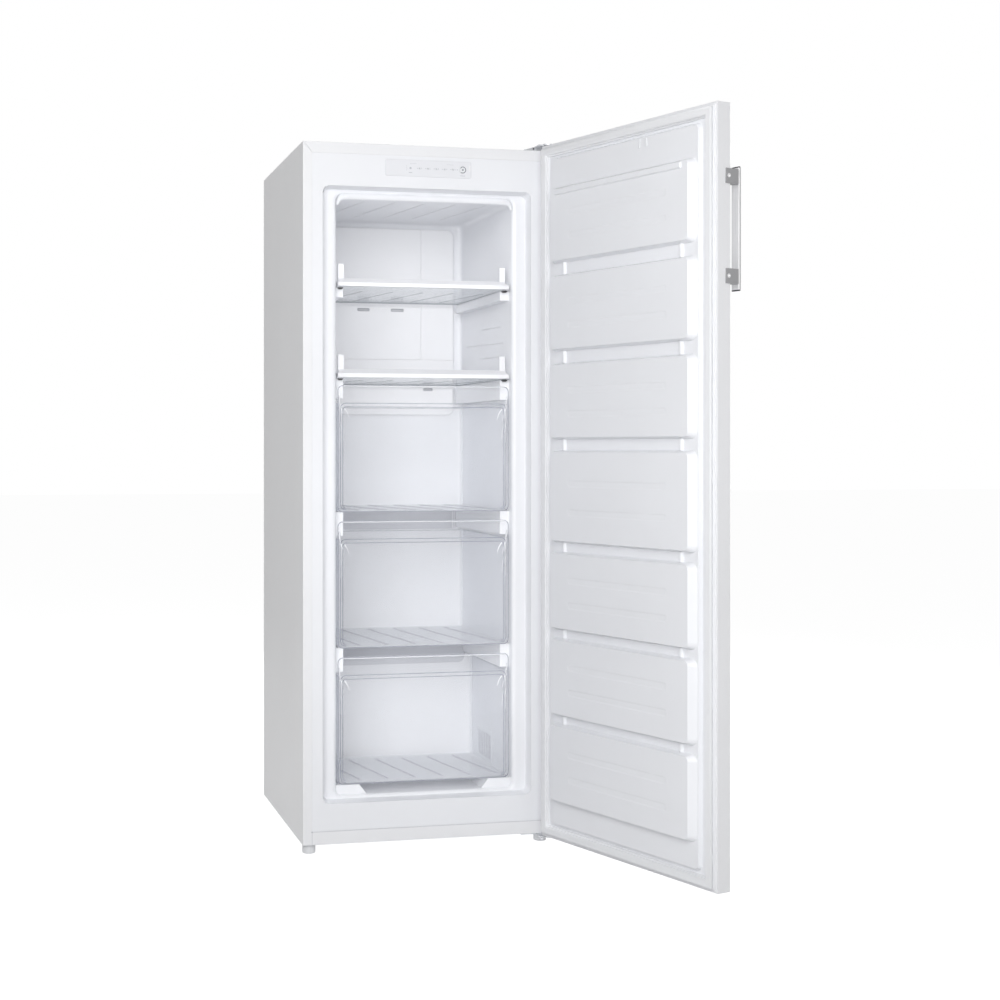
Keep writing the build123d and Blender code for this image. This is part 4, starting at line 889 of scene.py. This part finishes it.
def pressed_sheet(shape):
    # a flat border for the screws, a raised field, and long ribs pressed into it
    border = 24 * mm
    ramp = 5 * mm
    rib_half_length = 200 * mm
    rib_reach = 16 * mm
    rib_count = 6
    rib_pitch = (back_high.z - back_low.z) / (rib_count + 1)
    ribs = [back_low.z + (index + 1) * rib_pitch for index in range(rib_count)]
    columns = [back_low.x, back_low.x + border, back_low.x + border + ramp]
    columns += [x * mm for x in (-215, -208, -200, -193, 0, 193, 200, 208, 215)]
    columns += [back_high.x - border - ramp, back_high.x - border, back_high.x]
    levels = [back_low.z, back_low.z + border, back_low.z + border + ramp]
    for rib in ribs:
        levels += [rib + z * mm for z in range(-16, 17, 4)]
    levels += [back_high.z - border - ramp, back_high.z - border, back_high.z]
    grid = []
    for z in levels:
        row = []
        for x in columns:
            from_edge = min(x - back_low.x, back_high.x - x, z - back_low.z, back_high.z - z)
            raised = min(max((from_edge - border) / ramp, 0.0), 1.0)
            y = back_high.y - border_drop * (1.0 - raised)
            beside = min(abs(z - rib) for rib in ribs)
            beyond = max(abs(x) - rib_half_length, 0.0)
            off = (beside ** 2 + beyond ** 2) ** 0.5
            if off < rib_reach:
                y -= rib_drop * (1.0 + cos(pi * off / rib_reach)) / 2
            row.append(shape.verts.new((x, y, z)))
        grid.append(row)
    for row, after in zip(grid[:-1], grid[1:]):
        for index in range(len(columns) - 1):
            face = shape.faces.new((row[index], row[index + 1], after[index + 1], after[index]))
            face.smooth = True

    # a flat inner face, clear of the deepest pressing
    inner_y = back_low.y - border_drop - rib_drop
    outer = [(x, z) for x in (back_low.x, back_high.x) for z in (back_low.z, back_high.z)]
    inner = [shape.verts.new((x, inner_y, z)) for x, z in outer]
    shape.faces.new((inner[0], inner[1], inner[3], inner[2]))


screw_y = back_high.y - border_drop - 0.1 * mm
screw_inset = 12 * mm
screw_middle = (back_low.z + back_high.z) / 2
rear_screws = [
    (x, screw_y, z)
    for x in (-0.285, 0.0, 0.285)
    for z in (back_low.z + screw_inset, back_high.z - screw_inset, screw_middle)
    if x or z != screw_middle
]
heads = pan_heads(rear_screws, 4.0 * mm, 1.55 * mm)
piece("rear_screws", heads, "cabinet", by_slot["bright_steel"])
rear_sheet = piece("rear_sheet", pressed_sheet, "cabinet", by_slot["zinc_steel"])
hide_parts("back_panel")


# ---- floor, light and camera --------------------------------------------------------------
bpy.ops.mesh.primitive_plane_add(size=60.0, location=(0.0, 0.0, 0.0))
floor = bpy.context.object
floor.name = "floor"


def seen_directly(tree):
    # 1 for rays from the camera, from mirror-like surfaces and through clear ones
    path = tree.nodes.new("ShaderNodeLightPath")
    total = path.outputs["Is Camera Ray"]
    for name in ("Is Glossy Ray", "Is Transmission Ray"):
        either = tree.nodes.new("ShaderNodeMath")
        either.operation = "MAXIMUM"
        tree.links.new(total, either.inputs[0])
        tree.links.new(path.outputs[name], either.inputs[1])
        total = either.outputs["Value"]
    return total


material, tree, bsdf = shader("floor")
bsdf.inputs["Base Color"].default_value = (0.6, 0.6, 0.6, 1.0)
bsdf.inputs["Roughness"].default_value = 1.0
bsdf.inputs["Specular IOR Level"].default_value = 0.0
bsdf.inputs["Emission Color"].default_value = (1.0, 1.0, 1.0, 1.0)
glow = add(tree, "ShaderNodeMapRange", To_Min=0.0, To_Max=0.84)
tree.links.new(seen_directly(tree), glow.inputs["Value"])
tree.links.new(glow.outputs["Result"], bsdf.inputs["Emission Strength"])
floor.data.materials.append(material)

world = bpy.data.worlds.new("studio")
bpy.context.scene.world = world
world.use_nodes = True
tree = world.node_tree
background = tree.nodes["Background"]
background.inputs["Color"].default_value = (1.0, 1.0, 1.0, 1.0)
strength = add(tree, "ShaderNodeMapRange", To_Min=0.235, To_Max=1.0)
tree.links.new(seen_directly(tree), strength.inputs["Value"])
tree.links.new(strength.outputs["Result"], background.inputs["Strength"])


def lamp(name, place, aim, width, height, power):
    # a soft rectangle of light, which the camera doesn't see
    data = bpy.data.lights.new(name, "AREA")
    data.shape = "RECTANGLE"
    data.size = width
    data.size_y = height
    data.energy = power
    made = bpy.data.objects.new(name, data)
    made.location = place
    made.rotation_euler = (Vector(aim) - Vector(place)).to_track_quat("-Z", "Y").to_euler()
    made.visible_camera = False
    bpy.context.collection.objects.link(made)
    return made


lamp("left_softbox", (-1.4, -3.1, 1.7), (0.0, 0.0, 0.8), 1.6, 2.2, 68.0)
lamp("front_softbox", (-0.05, -2.1, 1.3), (0.0, 0.2, 0.8), 0.4, 2.0, 8.0)
lamp("right_softbox", (2.9, 0.4, 1.5), (0.3, 0.3, 0.8), 2.0, 2.2, 30.0)
lamp("rear_softbox", (0.6, 3.3, 1.6), (0.0, 0.6, 0.8), 2.0, 2.2, 20.0)
lamp("overhead_softbox", (0.3, 0.5, 3.9), (0.1, 0.2, 1.6), 2.0, 2.0, 9.0)
for name, z, height, power in (
    # these stand for the light that the white walls pass on
    ("inside_fill", 0.9, 1.2, 0.41),
    ("ceiling_fill", 1.43, 0.16, 0.05),
    ("lower_fill", 0.3, 0.3, 0.08),
):
    fill = lamp(name, (0.0, 0.012, z), (0.0, 0.5, z), 0.4, height, power)
    fill.visible_glossy = False

camera_data = bpy.data.cameras.new("camera")
camera = bpy.data.objects.new("camera", camera_data)
bpy.context.collection.objects.link(camera)
camera.location = (-0.982, -3.7195, 0.940)
camera.rotation_euler = (radians(90.0), 0.0, radians(-12.91))
camera_data.lens = 58.9
camera_data.shift_x = 0.125
camera_data.shift_y = -0.0517
bpy.context.scene.camera = camera
bpy.context.scene.view_settings.view_transform = "Standard"
